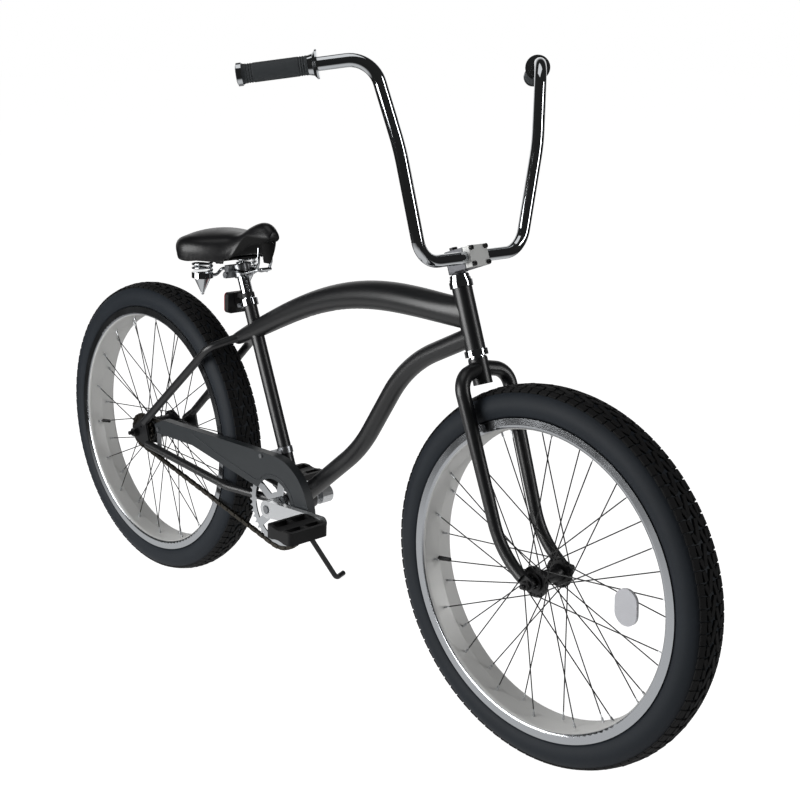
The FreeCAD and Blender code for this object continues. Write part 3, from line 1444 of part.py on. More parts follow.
def crank_arm(side):
    end = crank_end(side)
    low = v.crank_inner_face
    high = low + v.crank_thickness
    boss_low = v.chain_line + v.tooth_thickness / 2 + v.crank_edge
    arm = plate([(bracket, v.crank_boss_radius - v.crank_edge), (end, v.crank_end_radius)], low, high)
    boss = Part.makeCylinder(v.crank_boss_radius, high - boss_low, bracket + along_y * boss_low, along_y)
    arm = arm.fuse(boss)
    if side < 0:
        neck_low = v.chain_line - v.tooth_thickness / 2 - v.crank_neck_overlap
        arm = arm.fuse(Part.makeCylinder(v.crank_neck_radius, boss_low - neck_low,
                                         bracket + along_y * neck_low, along_y))
    half = v.spindle_square / 2 + v.running_fit
    turn = Rotation(along_y, -v.crank_angle)
    hole = Part.makeBox(half * 2, v.spindle_length / 2, half * 2)
    hole.Placement = Placement(bracket + turn.multVec(Vector(-half, 0, -half)), turn)
    arm = arm.cut(hole)
    socket = Part.makeCylinder(v.crank_socket_radius, v.crank_socket_depth,
                               bracket + along_y * (high - v.crank_socket_depth), along_y)
    arm = arm.cut(socket)
    arm = arm.cut(Part.makeCylinder(v.pedal_thread_radius + v.running_fit, high, end, along_y))
    arm = arm.cut(Part.makeCylinder(v.crank_bolt_diameter / 2 + v.rest_gap, high,
                                    bracket + along_y * v.spindle_length / 2, along_y))
    arm = arm.removeSplitter()
    return mirror_shape(arm) if side < 0 else arm


def crank_bolt(side):
    high = v.crank_inner_face + v.crank_thickness
    place = bracket + along_y * (high - v.crank_socket_depth)
    shank = Part.makeCylinder(v.crank_bolt_diameter / 2, v.crank_bolt_length, place, along_y * -1)
    bolt = hexagon(v.crank_bolt_head, v.crank_bolt_head_height, 0, place, along_y).fuse(shank)
    return mirror_shape(bolt) if side < 0 else bolt


def pedal_spindle(side):
    end = crank_end(side)
    low = v.crank_inner_face
    high = low + v.crank_thickness
    collar = Part.makeCylinder(v.pedal_thread_radius + v.pedal_collar_rim, v.pedal_collar,
                               end + along_y * (high + v.running_fit), along_y)
    thread = Part.makeCylinder(v.pedal_thread_radius, high - low + v.running_fit * 2,
                               end + along_y * low, along_y)
    shaft = Part.makeCylinder(v.pedal_spindle_radius, v.pedal_width, end + along_y * high, along_y)
    spindle = thread.fuse(collar).fuse(shaft).removeSplitter()
    return mirror_shape(spindle) if side < 0 else spindle


def pedal_solid(side):
    # A moulded platform: outer rails round a barrel, with open windows between.
    end = crank_end(side)
    start = v.crank_inner_face + v.crank_thickness + v.pedal_collar + v.rest_gap * 2
    blank = Part.makeBox(v.pedal_depth, v.pedal_width, v.pedal_height,
                         end + Vector(-v.pedal_depth / 2, start, -v.pedal_height / 2))
    uprights = [edge for edge in blank.Edges if abs(edge.tangentAt(edge.FirstParameter).z) > 0.9]
    blank = blank.makeFillet(v.pedal_corner, uprights)
    window_wide = v.pedal_depth / 2 - v.pedal_rail - v.pedal_barrel_radius
    window_long = (v.pedal_width - 3 * v.pedal_rail) / 2
    for ahead in (v.pedal_barrel_radius, -v.pedal_barrel_radius - window_wide):
        for step in range(2):
            aside = start + v.pedal_rail + step * (window_long + v.pedal_rail)
            blank = blank.cut(Part.makeBox(window_wide, window_long, v.pedal_height,
                                           end + Vector(ahead, aside, -v.pedal_height / 2)))
    scoop = v.pedal_height * 2
    for up in (1, -1):
        blank = blank.cut(Part.makeCylinder(scoop, v.pedal_width * 2, end + Vector(0, 0, up * (
            v.pedal_height / 2 + scoop - v.pedal_scoop)), along_y))
    bore_length = v.pedal_width - v.pedal_collar + v.rest_gap
    bore = Part.makeCylinder(v.pedal_spindle_radius + v.running_fit, bore_length,
                             end + along_y * start, along_y)
    blank = blank.cut(bore)
    return mirror_shape(blank) if side < 0 else blank


def build_cranks():
    pairs = {"crank_arms": crank_arm, "crank_bolts": crank_bolt, "pedal_spindles": pedal_spindle}
    for label, make in pairs.items():
        keep(feature(label, Part.makeCompound([make(1), make(-1)])), label)
    keep(feature("pedal_right", pedal_solid(-1)), "pedal_right")
    keep(feature("pedal_left", pedal_solid(1)), "pedal_left")


# Chain drive

class ChainLoop:
    # The line of the rollers: two straight runs and an arc round each set of teeth.
    def __init__(self):
        self.big = v.chainring_teeth * v.chain_pitch / (2 * math.pi)
        self.small = v.sprocket_teeth * v.chain_pitch / (2 * math.pi)
        back = (rear_axle - bracket).normalize()
        up = Vector(back.z, 0, -back.x)
        tilt = math.asin((self.big - self.small) / axle_distance)
        self.run = axle_distance * math.cos(tilt)
        self.rear_arc = self.small * (math.pi - 2 * tilt)
        self.top = up * math.cos(tilt) + back * math.sin(tilt)
        self.low = back * math.sin(tilt) - up * math.cos(tilt)
        self.rearward = back * math.cos(tilt) - up * math.sin(tilt)
        self.forward = back * -math.cos(tilt) - up * math.sin(tilt)

    def roller(self, along):
        if along < self.run:
            return bracket + self.top * self.big + self.rearward * along
        along -= self.run
        if along < self.rear_arc:
            return rear_axle + self.rear_direction(along) * pitch_radius(v.sprocket_teeth)
        along -= self.rear_arc
        if along < self.run:
            return rear_axle + self.low * self.small + self.forward * along
        return bracket + self.front_direction(along - self.run) * pitch_radius(v.chainring_teeth)

    def rear_direction(self, along):
        angle = along / self.small
        return self.top * math.cos(angle) + self.rearward * math.sin(angle)

    def front_direction(self, along):
        angle = along / self.big
        return self.low * math.cos(angle) + self.forward * math.sin(angle)

    def first_on(self, start):
        # How far past a tangent point the first roller lies.
        return math.ceil(start / v.chain_pitch) * v.chain_pitch - start


def pitch_radius(teeth):
    return v.chain_pitch / (2 * math.sin(math.pi / teeth))


def toothed_face(teeth, direction):
    # The outline of a toothed wheel about the origin, with a roller seat towards a direction.
    pitch = pitch_radius(teeth)
    seat_radius = v.roller_diameter / 2 + v.roller_seat_gap
    tip = pitch + v.tooth_height
    tip_half = v.tooth_tip_width / 2 / tip
    hug = math.radians(v.roller_hug)
    start = math.atan2(direction.z, direction.x)
    corners = []
    for i in range(int(teeth)):
        angle = start + 2 * math.pi * i / teeth
        out = Vector(math.cos(angle), 0, math.sin(angle))
        side = Vector(-math.sin(angle), 0, math.cos(angle))
        middle = out * pitch
        before = middle - out * seat_radius * math.cos(hug) - side * seat_radius * math.sin(hug)
        after = middle - out * seat_radius * math.cos(hug) + side * seat_radius * math.sin(hug)
        tips = [Vector(math.cos(a), 0, math.sin(a)) * tip
                for a in (angle + math.pi / teeth - tip_half, angle + math.pi / teeth + tip_half)]
        corners.append((before, middle - out * seat_radius, after, tips[0], tips[1]))
    edges = []
    for here, there in zip(corners, corners[1:] + corners[:1]):
        edges.append(Part.Arc(here[0], here[1], here[2]).toShape())
        edges.append(Part.LineSegment(here[2], here[3]).toShape())
        edges.append(Part.LineSegment(here[3], here[4]).toShape())
        edges.append(Part.LineSegment(here[4], there[0]).toShape())
    return Part.Face(Part.Wire(edges))


def toothed_wheel(teeth, direction, centre):
    thickness = v.tooth_thickness
    wheel = toothed_face(teeth, direction).extrude(along_y * thickness)
    wheel.translate(centre - along_y * (v.chain_line + thickness / 2))
    return wheel


def spider_window(angle):
    # One opening between two parallel-sided arms.
    half = math.pi / v.spider_arms
    low = v.spider_hub_radius
    high = v.spider_window_radius
    inner = half - math.asin(v.spider_arm_width / 2 / low)
    outer = half - math.asin(v.spider_arm_width / 2 / high)

    def polar(radius, turn):
        return Vector(math.cos(angle + turn) * radius, 0, math.sin(angle + turn) * radius)
    edges = [
        Part.Arc(polar(low, -inner), polar(low, 0), polar(low, inner)).toShape(),
        Part.LineSegment(polar(low, inner), polar(high, outer)).toShape(),
        Part.Arc(polar(high, outer), polar(high, 0), polar(high, -outer)).toShape(),
        Part.LineSegment(polar(high, -outer), polar(low, -inner)).toShape(),
    ]
    face = Part.Face(Part.Wire(edges))
    window = face.extrude(along_y * v.chain_line * -2)
    window.translate(bracket)
    return window


def link_plate(low, high):
    half = along_x * v.chain_pitch / 2
    return plate([(half * -1, v.link_plate_radius), (half, v.link_plate_radius)], low, high)


def outer_link():
    start = v.link_inner_width / 2 + v.link_plate + v.link_plate_gap
    end = start + v.link_plate
    link = link_plate(start, end).fuse(link_plate(-end, -start))
    for side in (-1, 1):
        place = Vector(side * v.chain_pitch / 2, -end - v.link_pin_proud, 0)
        pin_length = 2 * (end + v.link_pin_proud)
        link = link.fuse(Part.makeCylinder(v.link_pin_diameter / 2, pin_length, place, along_y))
    return link


def inner_link():
    start = v.link_inner_width / 2
    end = start + v.link_plate
    link = link_plate(start, end).fuse(link_plate(-end, -start))
    for side in (-1, 1):
        place = Vector(side * v.chain_pitch / 2, -end, 0)
        link = link.fuse(Part.makeCylinder(v.roller_diameter / 2, 2 * end, place, along_y))
    bores = [Part.makeCylinder(v.link_pin_diameter / 2 + v.link_pin_play, 2 * end,
                               Vector(side * v.chain_pitch / 2, -end, 0), along_y) for side in (-1, 1)]
    return link.cut(bores)


def build_chain_drive():
    loop = ChainLoop()
    count = int(v.chain_links)
    rollers = [loop.roller(i * v.chain_pitch) for i in range(count)]
    links = []
    patterns = [inner_link(), outer_link()]
    for i in range(count):
        here = rollers[i]
        there = rollers[(i + 1) % count]
        gap = there - here
        link = patterns[i % 2].copy()
        link.Placement = Placement((here + there) * 0.5 - along_y * v.chain_line,
                                   Rotation(along_x, Vector(gap.x, 0, gap.z)))
        links.append(link)
    keep(feature("chain", Part.makeCompound(links)), "chain")

    front_start = 2 * loop.run + loop.rear_arc
    ring = toothed_wheel(v.chainring_teeth, loop.front_direction(loop.first_on(front_start)), bracket)
    first_window = math.radians(v.crank_angle + 180 / v.spider_arms)
    windows = [spider_window(first_window + 2 * math.pi * i / v.spider_arms)
               for i in range(int(v.spider_arms))]
    neck = Part.makeCylinder(v.crank_neck_radius + v.running_fit, v.chain_line * 2, bracket, along_y * -1)
    keep(feature("chainring", ring.cut(windows + [neck])), "chainring")

    sprocket = toothed_wheel(v.sprocket_teeth, loop.rear_direction(loop.first_on(loop.run)), rear_axle)
    sprocket = sprocket.cut(Part.makeCylinder(v.driver_radius + v.running_fit, v.chain_line * 2,
                                              rear_axle, along_y * -1))
    bore = "rear_axle_diameter / 2 + running_fit"
    journal = "(rear_ball_circle - hub_ball_diameter) / 2 - running_fit"
    neck_start = "rear_hub_half + driver_gap"
    end = "chain_line + tooth_thickness / 2 + driver_lip"
    driver = turned("hub_driver", [
        (bore, "expander_half + rest_gap"), (journal, "expander_half + rest_gap"), (journal, neck_start),
        ("driver_radius", neck_start), ("driver_radius", end), (bore, end),
    ])
    seat(driver, axis_frame(rear_axle, along_y * -1))
    keep(group("rear_sprocket_set", feature("sprocket_plate", sprocket), driver), "rear_sprocket")


# Chain guard

def guard_face(inset):
    # The guard's side view. Its top edge and round front draw in by the inset.
    radius = v.guard_radius - inset
    tip_top = bracket + Vector(-v.guard_tip_reach, 0, v.guard_tip_rise)
    heel = bracket + Vector(-v.guard_reach, 0, v.guard_top_rise)
    heel += (tip_top - heel) * (inset / (heel.z - tip_top.z))
    tip_low = bracket + Vector(v.guard_tip_slant - v.guard_tip_reach, 0, v.guard_heel_rise)
    belly = bracket + Vector(-v.guard_belly_reach, 0, v.guard_belly_rise)
    gap = heel - bracket
    tangent = math.atan2(gap.z, gap.x) - math.acos(radius / gap.Length)
    end = math.radians(v.guard_front_angle)
    hole_start = math.radians(v.guard_hole_angle)

    def polar(size_, angle):
        return bracket + Vector(math.cos(angle), 0, math.sin(angle)) * size_
    hole = v.guard_hole_radius
    edges = [
        Part.LineSegment(polar(hole, end), polar(radius, end)).toShape(),
        Part.Arc(polar(radius, end), polar(radius, (end + tangent) / 2), polar(radius, tangent)).toShape(),
        Part.LineSegment(polar(radius, tangent), heel).toShape(),
        Part.LineSegment(heel, tip_top).toShape(),
        Part.LineSegment(tip_top, tip_low).toShape(),
        Part.LineSegment(tip_low, belly).toShape(),
        Part.LineSegment(belly, polar(hole, hole_start)).toShape(),
        Part.Arc(polar(hole, hole_start), polar(hole, (end + hole_start) / 2), polar(hole, end)).toShape(),
    ]
    return Part.Face(Part.Wire(edges))


def build_chain_guard(chain_path):
    outer = v.guard_offset + v.guard_sheet
    sheet_solid = guard_face(0).extrude(along_y * v.guard_sheet)
    sheet_solid.translate(along_y * -outer)
    lip = guard_face(0).cut(guard_face(v.guard_sheet)).extrude(along_y * v.guard_depth)
    lip.translate(along_y * -v.guard_offset)
    guard = sheet_solid.fuse(lip).removeSplitter()
    screw_radius = v.small_bolt_diameter / 2
    rear_screw = bracket + Vector(v.guard_screw_inset - v.guard_tip_reach, 0,
                                  (v.guard_tip_rise + v.guard_heel_rise) / 2)
    clip_middle = seat_point(v.guard_clip_height)
    front_screw = Vector(clip_middle.x, 0, clip_middle.z)
    holes = [Part.makeCylinder(screw_radius + v.running_fit, outer * 2, place, along_y * -1)
             for place in (rear_screw, front_screw)]
    keep(feature("chain_guard", guard.cut(holes)), "chain_guard")
    tab = guard_tab(rear_screw, chain_path).cut(holes[0])
    clip = guard_clip(clip_middle).cut(holes[1])
    keep(feature("guard_brackets", Part.makeCompound([tab, clip])), "guard_brackets")

    screws = []
    for place in (rear_screw, front_screw):
        face = place - along_y * outer
        shank = Part.makeCylinder(screw_radius, v.guard_sheet + v.guard_tab_thickness, face, along_y)
        head = Part.makeCylinder(v.guard_screw_head / 2, v.guard_screw_head_height, face, along_y * -1)
        screws.append(shank.fuse(head))
    return screws


def guard_tab(screw, chain_path):
    # The tab on the right chain stay that carries the guard's tail.
    stay_run = chain_path.Edges[-1]
    first = stay_run.valueAt(stay_run.FirstParameter)
    last = stay_run.valueAt(stay_run.LastParameter)
    stay_core = mirror_shape(solid_bar(first, last, v.chain_stay_diameter / 2))
    stay_height = last.z + (first.z - last.z) * (screw.x - last.x) / (first.x - last.x)
    root = Vector(screw.x, 0, stay_height)
    tab = plate([(screw, v.guard_tab_radius), (root, v.guard_tab_radius)],
                -v.guard_offset, -v.guard_offset + v.guard_tab_thickness)
    return max(tab.cut(stay_core).Solids, key=lambda solid: solid.CenterOfMass.z)


def guard_clip(middle):
    # The clip round the seat tube, with an arm out to the guard.
    width = v.guard_clip_width
    inner = v.seat_tube_diameter / 2 + v.running_fit
    foot = middle - seat_up * width / 2
    clip = Part.makeCylinder(inner + v.clip_sheet, width, foot, seat_up)
    arm = Part.makeBox(width, v.guard_offset, v.guard_arm_height,
                       middle + Vector(-width / 2, -v.guard_offset, -v.guard_arm_height / 2))
    return clip.fuse(arm).cut(Part.makeCylinder(inner, width * 3, foot - seat_up * width, seat_up))


# Saddle and seatpost

def saddle_datum():
    # Where the saddle's clamp grips the post.
    return seat_point(v.seat_tube_length + v.seatpost_rise - v.saddle_clamp_half)


def saddle_section(station):
    # A crowned section across the saddle, widest a third of the way up.
    place, half, low, high = station
    tall = high - low
    side = [Vector(place, half * a, low + tall * b) for a, b in ((0.94, 0), (1, 0.35), (0.72, 0.8))]
    other = [Vector(point.x, -point.y, point.z) for point in side]
    edges = [
        Part.LineSegment(other[0], side[0]).toShape(),
        Part.Arc(*side).toShape(),
        Part.Arc(side[2], Vector(place, 0, high), other[2]).toShape(),
        Part.Arc(other[2], other[1], other[0]).toShape(),
    ]
    return Part.Wire(edges)


def saddle_base():
    return saddle_datum().z + v.saddle_base_height


def pan_face(spring_x, nose, margin):
    # The pan's outline, wide over the springs and narrow at the nose.
    return hull_face([(Vector(spring_x, 0, v.spring_spread), v.pan_rear_radius + margin),
                      (Vector(spring_x, 0, -v.spring_spread), v.pan_rear_radius + margin),
                      (Vector(nose - v.pan_nose_setback, 0, 0), v.pan_nose_radius + margin)])


def build_saddle():
    # The padded cover, whose skirt hides the pan it sits on.
    datum = saddle_datum()
    base = saddle_base()
    nose = datum.x + v.saddle_nose_reach
    half = v.saddle_width / 2
    crown = v.saddle_crown
    # shares of the length from the nose, of the half width and of the crown's height
    shares = [(0, 0.13, 0.6, 1.08), (0.06, 0.22, 0.27, 1.36), (0.165, 0.275, -0.07, 1.44),
              (0.325, 0.38, -0.22, 1.14), (0.52, 0.7, -0.25, 0.97), (0.7, 0.955, -0.25, 1),
              (0.845, 1, -0.25, 0.92), (0.955, 0.82, 0, 0.61), (1, 0.55, 0.17, 0.41)]
    stations = [(nose - along * v.saddle_length, half * wide, base + crown * low, base + crown * high)
                for along, wide, low, high in shares]
    cushion = Part.makeLoft([saddle_section(station) for station in stations], True, False)
    below = Part.makeBox(v.saddle_length * 2, v.saddle_width * 2, crown,
                         Vector(datum.x - v.saddle_length, -v.saddle_width, base - crown - v.saddle_skirt))
    spring_x = datum.x - v.spring_setback
    recess = pan_face(spring_x, nose, v.rest_gap).extrude(along_y * 2 * v.saddle_skirt)
    recess.rotate(origin, along_x, 90)
    recess.translate(along_z * (base - 2 * v.saddle_skirt))
    keep(feature("saddle_cover", cushion.cut(below).cut(recess)), "saddle_cover")

    pan_top = base - v.rest_gap
    pan_low = pan_top - v.pan_thickness
    hinge = Vector(nose - v.saddle_hinge_setback, 0, pan_low - v.rail_diameter)
    pan = pan_face(spring_x, nose, 0)
    pan = pan.extrude(along_y * v.pan_thickness)
    pan.rotate(origin, along_x, 90)
    pan.translate(along_z * pan_low)
    ear_width = v.rail_spread - v.rail_nose_inset
    ear = Part.makeBox(v.rail_diameter * 2, ear_width, pan_low - hinge.z + v.rail_diameter,
                       hinge + Vector(-v.rail_diameter, -ear_width / 2, -v.rail_diameter))
    pan = pan.fuse(ear).cut(Part.makeCylinder(v.rail_diameter / 2 + v.running_fit, v.saddle_width,
                                              hinge - along_y * v.saddle_width / 2, along_y))
    keep(feature("saddle_pan", pan), "saddle_pan")
    build_rails(datum, hinge, spring_x, pan_low)


def build_rails(datum, hinge, spring_x, pan_low):
    rail = datum.z + v.rail_rise
    seat_top = pan_low - v.spring_height
    rail_end = Vector(spring_x, v.spring_spread, seat_top - v.rail_diameter)
    bend = Vector(datum.x - v.rail_rear_bend, v.rail_spread, rail)
    inward = Vector(bend.x - rail_end.x, bend.y - rail_end.y, 0).normalize()
    # the rail is below the coil's foot before it comes under the coil
    beside_coil = rail_end + inward * (v.spring_coil_radius + v.spring_wire_diameter / 2 + v.rail_diameter)
    left = [Vector(hinge.x, v.rail_spread - v.rail_nose_inset, hinge.z),
            Vector(hinge.x - v.rail_ramp, v.rail_spread, rail),
            bend,
            beside_coil,
            rail_end]
    right = [Vector(point.x, -point.y, point.z) for point in left]
    bends = [v.rail_diameter, 4 * v.rail_diameter, v.rail_rear_radius, v.rail_rear_radius]
    path = bent_path(right[::-1] + left, bends[::-1] + bends)
    bullets = [spring_bullet(Vector(spring_x, side * v.spring_spread, seat_top)) for side in (1, -1)]
    wire = rod(path, v.rail_diameter / 2).cut(bullets)
    wire = max(wire.Solids, key=lambda solid: solid.Volume)
    keep(feature("saddle_rails", Part.makeCompound([wire] + bullets)), "saddle_rails")
    build_springs(spring_x, seat_top)
    build_saddle_clamp(datum, rail)


def spring_bullet(top):
    # The cup under a spring, drawn out below to a bullet-shaped point.
    wide = v.spring_coil_radius + v.spring_wire_diameter / 2
    neck = top - along_z * v.bullet_cup_height
    cup = Part.makeCylinder(wide, v.bullet_cup_height, neck)
    cone = Part.makeCone(wide - v.bullet_neck_step, v.bullet_point_radius,
                         v.bullet_length - v.bullet_cup_height, neck, along_z * -1)
    return cup.fuse(cone).fuse(Part.makeSphere(v.bullet_tip_radius, top - along_z * v.bullet_length))


def build_saddle_clamp(datum, rail):
    # A ring round the post with a beam across it that grips both rails.
    half = v.rail_spread + v.clamp_beam_overhang
    back = datum.x - v.clamp_beam_setback
    low = datum.z - v.clamp_beam_drop
    beam = Part.makeBox(v.clamp_beam_depth, 2 * half, rail + v.clamp_beam_rise - low,
                        Vector(back, -half, low))
    post = v.seatpost_diameter / 2 + v.running_fit
    foot = datum - seat_up * v.saddle_clamp_half
    ring = Part.makeCylinder(post + v.saddle_clamp_wall, 2 * v.saddle_clamp_half, foot, seat_up)
    bore = Part.makeCylinder(post, 6 * v.saddle_clamp_half, foot - seat_up * 2 * v.saddle_clamp_half, seat_up)
    clamp = beam.fuse(ring).cut(bore)
    for side in (1, -1):
        start = Vector(back - v.clamp_beam_depth, side * v.rail_spread, rail)
        clamp = clamp.cut(Part.makeCylinder(v.rail_diameter / 2 + v.running_fit, 3 * v.clamp_beam_depth,
                                            start, along_x))
    nut_place = Vector(back + v.clamp_nut_ahead, half, low + v.clamp_nut_rise)
    nut = hexagon(v.clamp_nut_across, v.clamp_nut_height, 0, nut_place, along_y)
    keep(feature("saddle_clamp", clamp.fuse(nut).fuse(mirror_shape(nut))), "saddle_clamp")


def biarc(start, start_way, end, end_way):
    # Two arcs that leave one point and reach another along given directions.
    gap = end - start
    ways = start_way + end_way
    bend = 2 * (1 - start_way.dot(end_way))
    root = math.sqrt(gap.dot(ways) ** 2 + bend * gap.dot(gap))
    reach = (root - gap.dot(ways)) / bend
    joint = (start + end + (start_way - end_way) * reach) * 0.5
    edges = []
    for point, way, other in ((start, start_way, joint), (joint, (end - joint).normalize(), end)):
        if other is end:
            way = (joint - start).normalize() * 2 * (joint - start).normalize().dot(start_way) - start_way
        chord = other - point
        normal = (chord - way * chord.dot(way)).normalize()
        radius = chord.dot(chord) / (2 * chord.dot(normal))
        centre = point + normal * radius
        middle = centre + (point + chord * 0.5 - centre).normalize() * radius
        edges.append(Part.Arc(point, middle, other).toShape())
    return edges


def build_springs(spring_x, seat_top):
    # Open coil springs between the bullets and the pan, each one unbroken wire.
    wire = v.spring_wire_diameter / 2
    low = seat_top + v.rest_gap + wire
    rise = v.spring_height - 2 * v.rest_gap - 2 * wire
    steps = int(round(v.spring_turns * 4))
    pitch = rise / v.spring_turns

    def point(turns):
        angle = 2 * math.pi * turns
        return Vector(math.cos(angle), math.sin(angle), 0) * v.spring_coil_radius + along_z * pitch * turns

    def way(turns):
        angle = 2 * math.pi * turns
        around = 2 * math.pi * v.spring_coil_radius
        return Vector(-math.sin(angle) * around, math.cos(angle) * around, pitch).normalize()
    edges = []
    for i in range(steps):
        edges += biarc(point(i / 4), way(i / 4), point((i + 1) / 4), way((i + 1) / 4))
    path = Part.Wire(edges)
    coil = path.makePipeShell([ring_wire(point(0), way(0), wire)], True, False)
    per_turn = 40
    samples = [point(i / per_turn) for i in range(int(v.spring_turns * per_turn) + 1)]
    apart = per_turn * 3 // 4
    least = min((here - there).Length for i, here in enumerate(samples) for there in samples[i + apart:])
    print(f"spring: least gap between turns {least - 2 * wire:.2f} mm")
    coils = [moved(coil, Vector(spring_x, side * v.spring_spread, low)) for side in (1, -1)]
    keep(feature("saddle_springs", Part.makeCompound(coils)), "saddle_springs")


def build_seatpost():
    post = sleeve("seatpost_tube", "seatpost_diameter / 2", "seatpost_diameter / 2 - seatpost_wall",
                  "seat_tube_length - seatpost_insert", "seat_tube_length + seatpost_rise")
    keep(seat(post, axis_frame(bracket, seat_up)), "seatpost")
    build_rear_reflector()


def build_rear_reflector():
    # The bracket bands the post just above the collar and carries a reflector that faces back.
    inner = v.seatpost_diameter / 2 + v.running_fit
    foot = seat_point(v.seat_tube_length + v.reflector_band_gap)
    middle = foot + seat_up * v.reflector_band_height / 2
    face = middle.x - v.reflector_setback
    band = Part.makeCylinder(inner + v.clip_sheet, v.reflector_band_height, foot, seat_up)
    arm = Part.makeBox(v.reflector_setback, v.reflector_arm_width, v.reflector_arm_height,
                       Vector(face, -v.reflector_arm_width / 2, middle.z - v.reflector_arm_height))
    drop = Part.makeBox(v.reflector_plate, v.reflector_plate_width, v.reflector_plate_height,
                        Vector(face, -v.reflector_plate_width / 2, middle.z - v.reflector_plate_height))
    post = Part.makeCylinder(inner, v.seatpost_rise, foot - seat_up * v.seatpost_rise / 2, seat_up)
    pieces = [band.fuse(arm).fuse(drop).cut(post)]
    high = v.reflector_height / 2 - v.reflector_corner
    wide = v.reflector_width / 2 - v.reflector_corner
    corners = [Vector(-wide, 0, -high), Vector(wide, 0, -high), Vector(wide, 0, high), Vector(-wide, 0, high)]
    outline = hull_face([(corner, v.reflector_corner) for corner in corners])
    housing = outline.extrude(along_y * v.reflector_depth)
    lens = outline.extrude(along_y * v.reflector_lens)
    lens.translate(along_y * v.reflector_depth)
    for solid in (housing, lens):
        solid.rotate(origin, along_z, 90)
        solid.translate(Vector(face, 0, middle.z - v.reflector_drop))
        pieces.append(solid)
    keep(feature("rear_reflector", Part.makeCompound(pieces)), "rear_reflector")


# Side stand

def stand_frame():
    pivot = bracket + Vector(-v.stand_pivot_back, v.stand_pivot_side, v.stand_pivot_rise)
    foot = on_ground(bracket.x - v.stand_foot_back, v.stand_foot_side, v.stand_leg_diameter / 2)
    down = (foot - pivot).normalize()
    folded = Vector(-v.stand_fold_reach, v.stand_fold_side, 0).normalize()
    return pivot, foot, down.cross(folded).normalize(), down


def build_side_stand(stay_path):
    # The leg, and the split clamp on the left chain stay that carries its pin.
    pivot, foot, pin, down = stand_frame()
    radius = v.stand_leg_diameter / 2
    half = v.stand_eye_half
    eye = Part.makeCylinder(v.stand_eye_radius, 2 * half, pivot - pin * half, pin)
    bore = Part.makeCylinder(v.stand_pin_radius + v.running_fit, 4 * half, pivot - pin * 2 * half, pin)
    tip = on_ground(foot.x - v.stand_tip_back, v.stand_foot_side + v.stand_tip_length, radius)
    leg = rod(bent_path([pivot + down * v.stand_leg_diameter / 2, foot, tip], [v.stand_leg_diameter]), radius)
    keep(feature("kickstand_leg", eye.fuse(leg).cut(bore).removeSplitter()), "kickstand_leg")

    lug_foot = pivot - pin * (half + v.rest_gap + v.stand_lug_length)
    lug = Part.makeCylinder(v.stand_eye_radius, v.stand_lug_length, lug_foot, pin)
    shaft_length = v.stand_lug_length + 2 * half + 2 * v.rest_gap
    shaft = Part.makeCylinder(v.stand_pin_radius, shaft_length, lug_foot, pin)
    cap = Part.makeCylinder(v.stand_cap_radius, v.stand_cap_height, pivot + pin * (half + v.rest_gap), pin)
    run = stay_path.Edges[-1]
    direction = run.tangentAt(run.FirstParameter)
    first = run.valueAt(run.FirstParameter)
    middle = first + direction * ((pivot.x - first.x) / direction.x)
    length = v.stand_clamp_length
    stay_radius = v.chain_stay_diameter / 2 + v.running_fit
    band_radius = stay_radius + v.stand_clamp_wall
    band = Part.makeCylinder(band_radius, length, middle - direction * length / 2, direction)
    ear_half = v.stand_slit / 2 + v.stand_ear_thickness
    ear_size = length - 2 * v.stand_clamp_wall
    ears = Part.makeBox(ear_size, 2 * ear_half, band_radius + v.stand_ear_height,
                        middle + Vector(-ear_size / 2, -ear_half, -band_radius - v.stand_ear_height))
    slit = Part.makeBox(2 * length, v.stand_slit, band_radius + v.stand_ear_height,
                        middle + Vector(-length, -v.stand_slit / 2, -band_radius - v.stand_ear_height))
    stay = Part.makeCylinder(stay_radius, 2 * length, middle - direction * length, direction)
    bolt_place = middle - along_z * (band_radius + v.stand_ear_height / 2)
    reach = along_y * ear_half
    bolt = solid_bar(bolt_place - reach, bolt_place + reach, v.small_bolt_diameter / 2)
    for face, way in ((bolt_place + reach, along_y), (bolt_place - reach, along_y * -1)):
        bolt = bolt.fuse(small_bolt_head(face, way))
    bracket_solid = band.fuse(lug).fuse(ears).cut(slit).fuse(shaft).fuse(cap).cut(stay).fuse(bolt)
    keep(feature("kickstand_bracket", bracket_solid), "kickstand_bracket")


build_front_wheel()
build_rear_wheel()
build_front_axle()
build_rear_axle()
build_fork()
build_headset()
build_stem()
build_handlebar()
frame_parts = build_frame_tubes()
chain_stay_path = build_stays(*frame_parts)
clamp_bolt = build_seat_clamp()
build_brake_arm(chain_stay_path)
build_bottom_bracket()
build_cranks()
build_chain_drive()
guard_screws = build_chain_guard(chain_stay_path)
keep(feature("frame_screws", Part.makeCompound(guard_screws + [clamp_bolt])), "frame_screws")
build_saddle()
build_seatpost()
build_side_stand(chain_stay_path)
doc.recompute()

for item in doc.Objects:
    if "Invalid" in item.State or "Error" in item.State:
        raise RuntimeError(f"{item.Name} did not build: {item.State}")
for item in subparts:
    if item.Shape.isNull() or not item.Shape.isValid():
        raise RuntimeError(f"{item.Label} has no valid shape")
os.makedirs("parts", exist_ok=True)
for item in subparts:
    item.Shape.exportStep(f"parts/{item.Label}.step")
print(f"{len(subparts)} sub-parts written")
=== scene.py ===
import json
import math
import bpy
from mathutils import Matrix, Vector


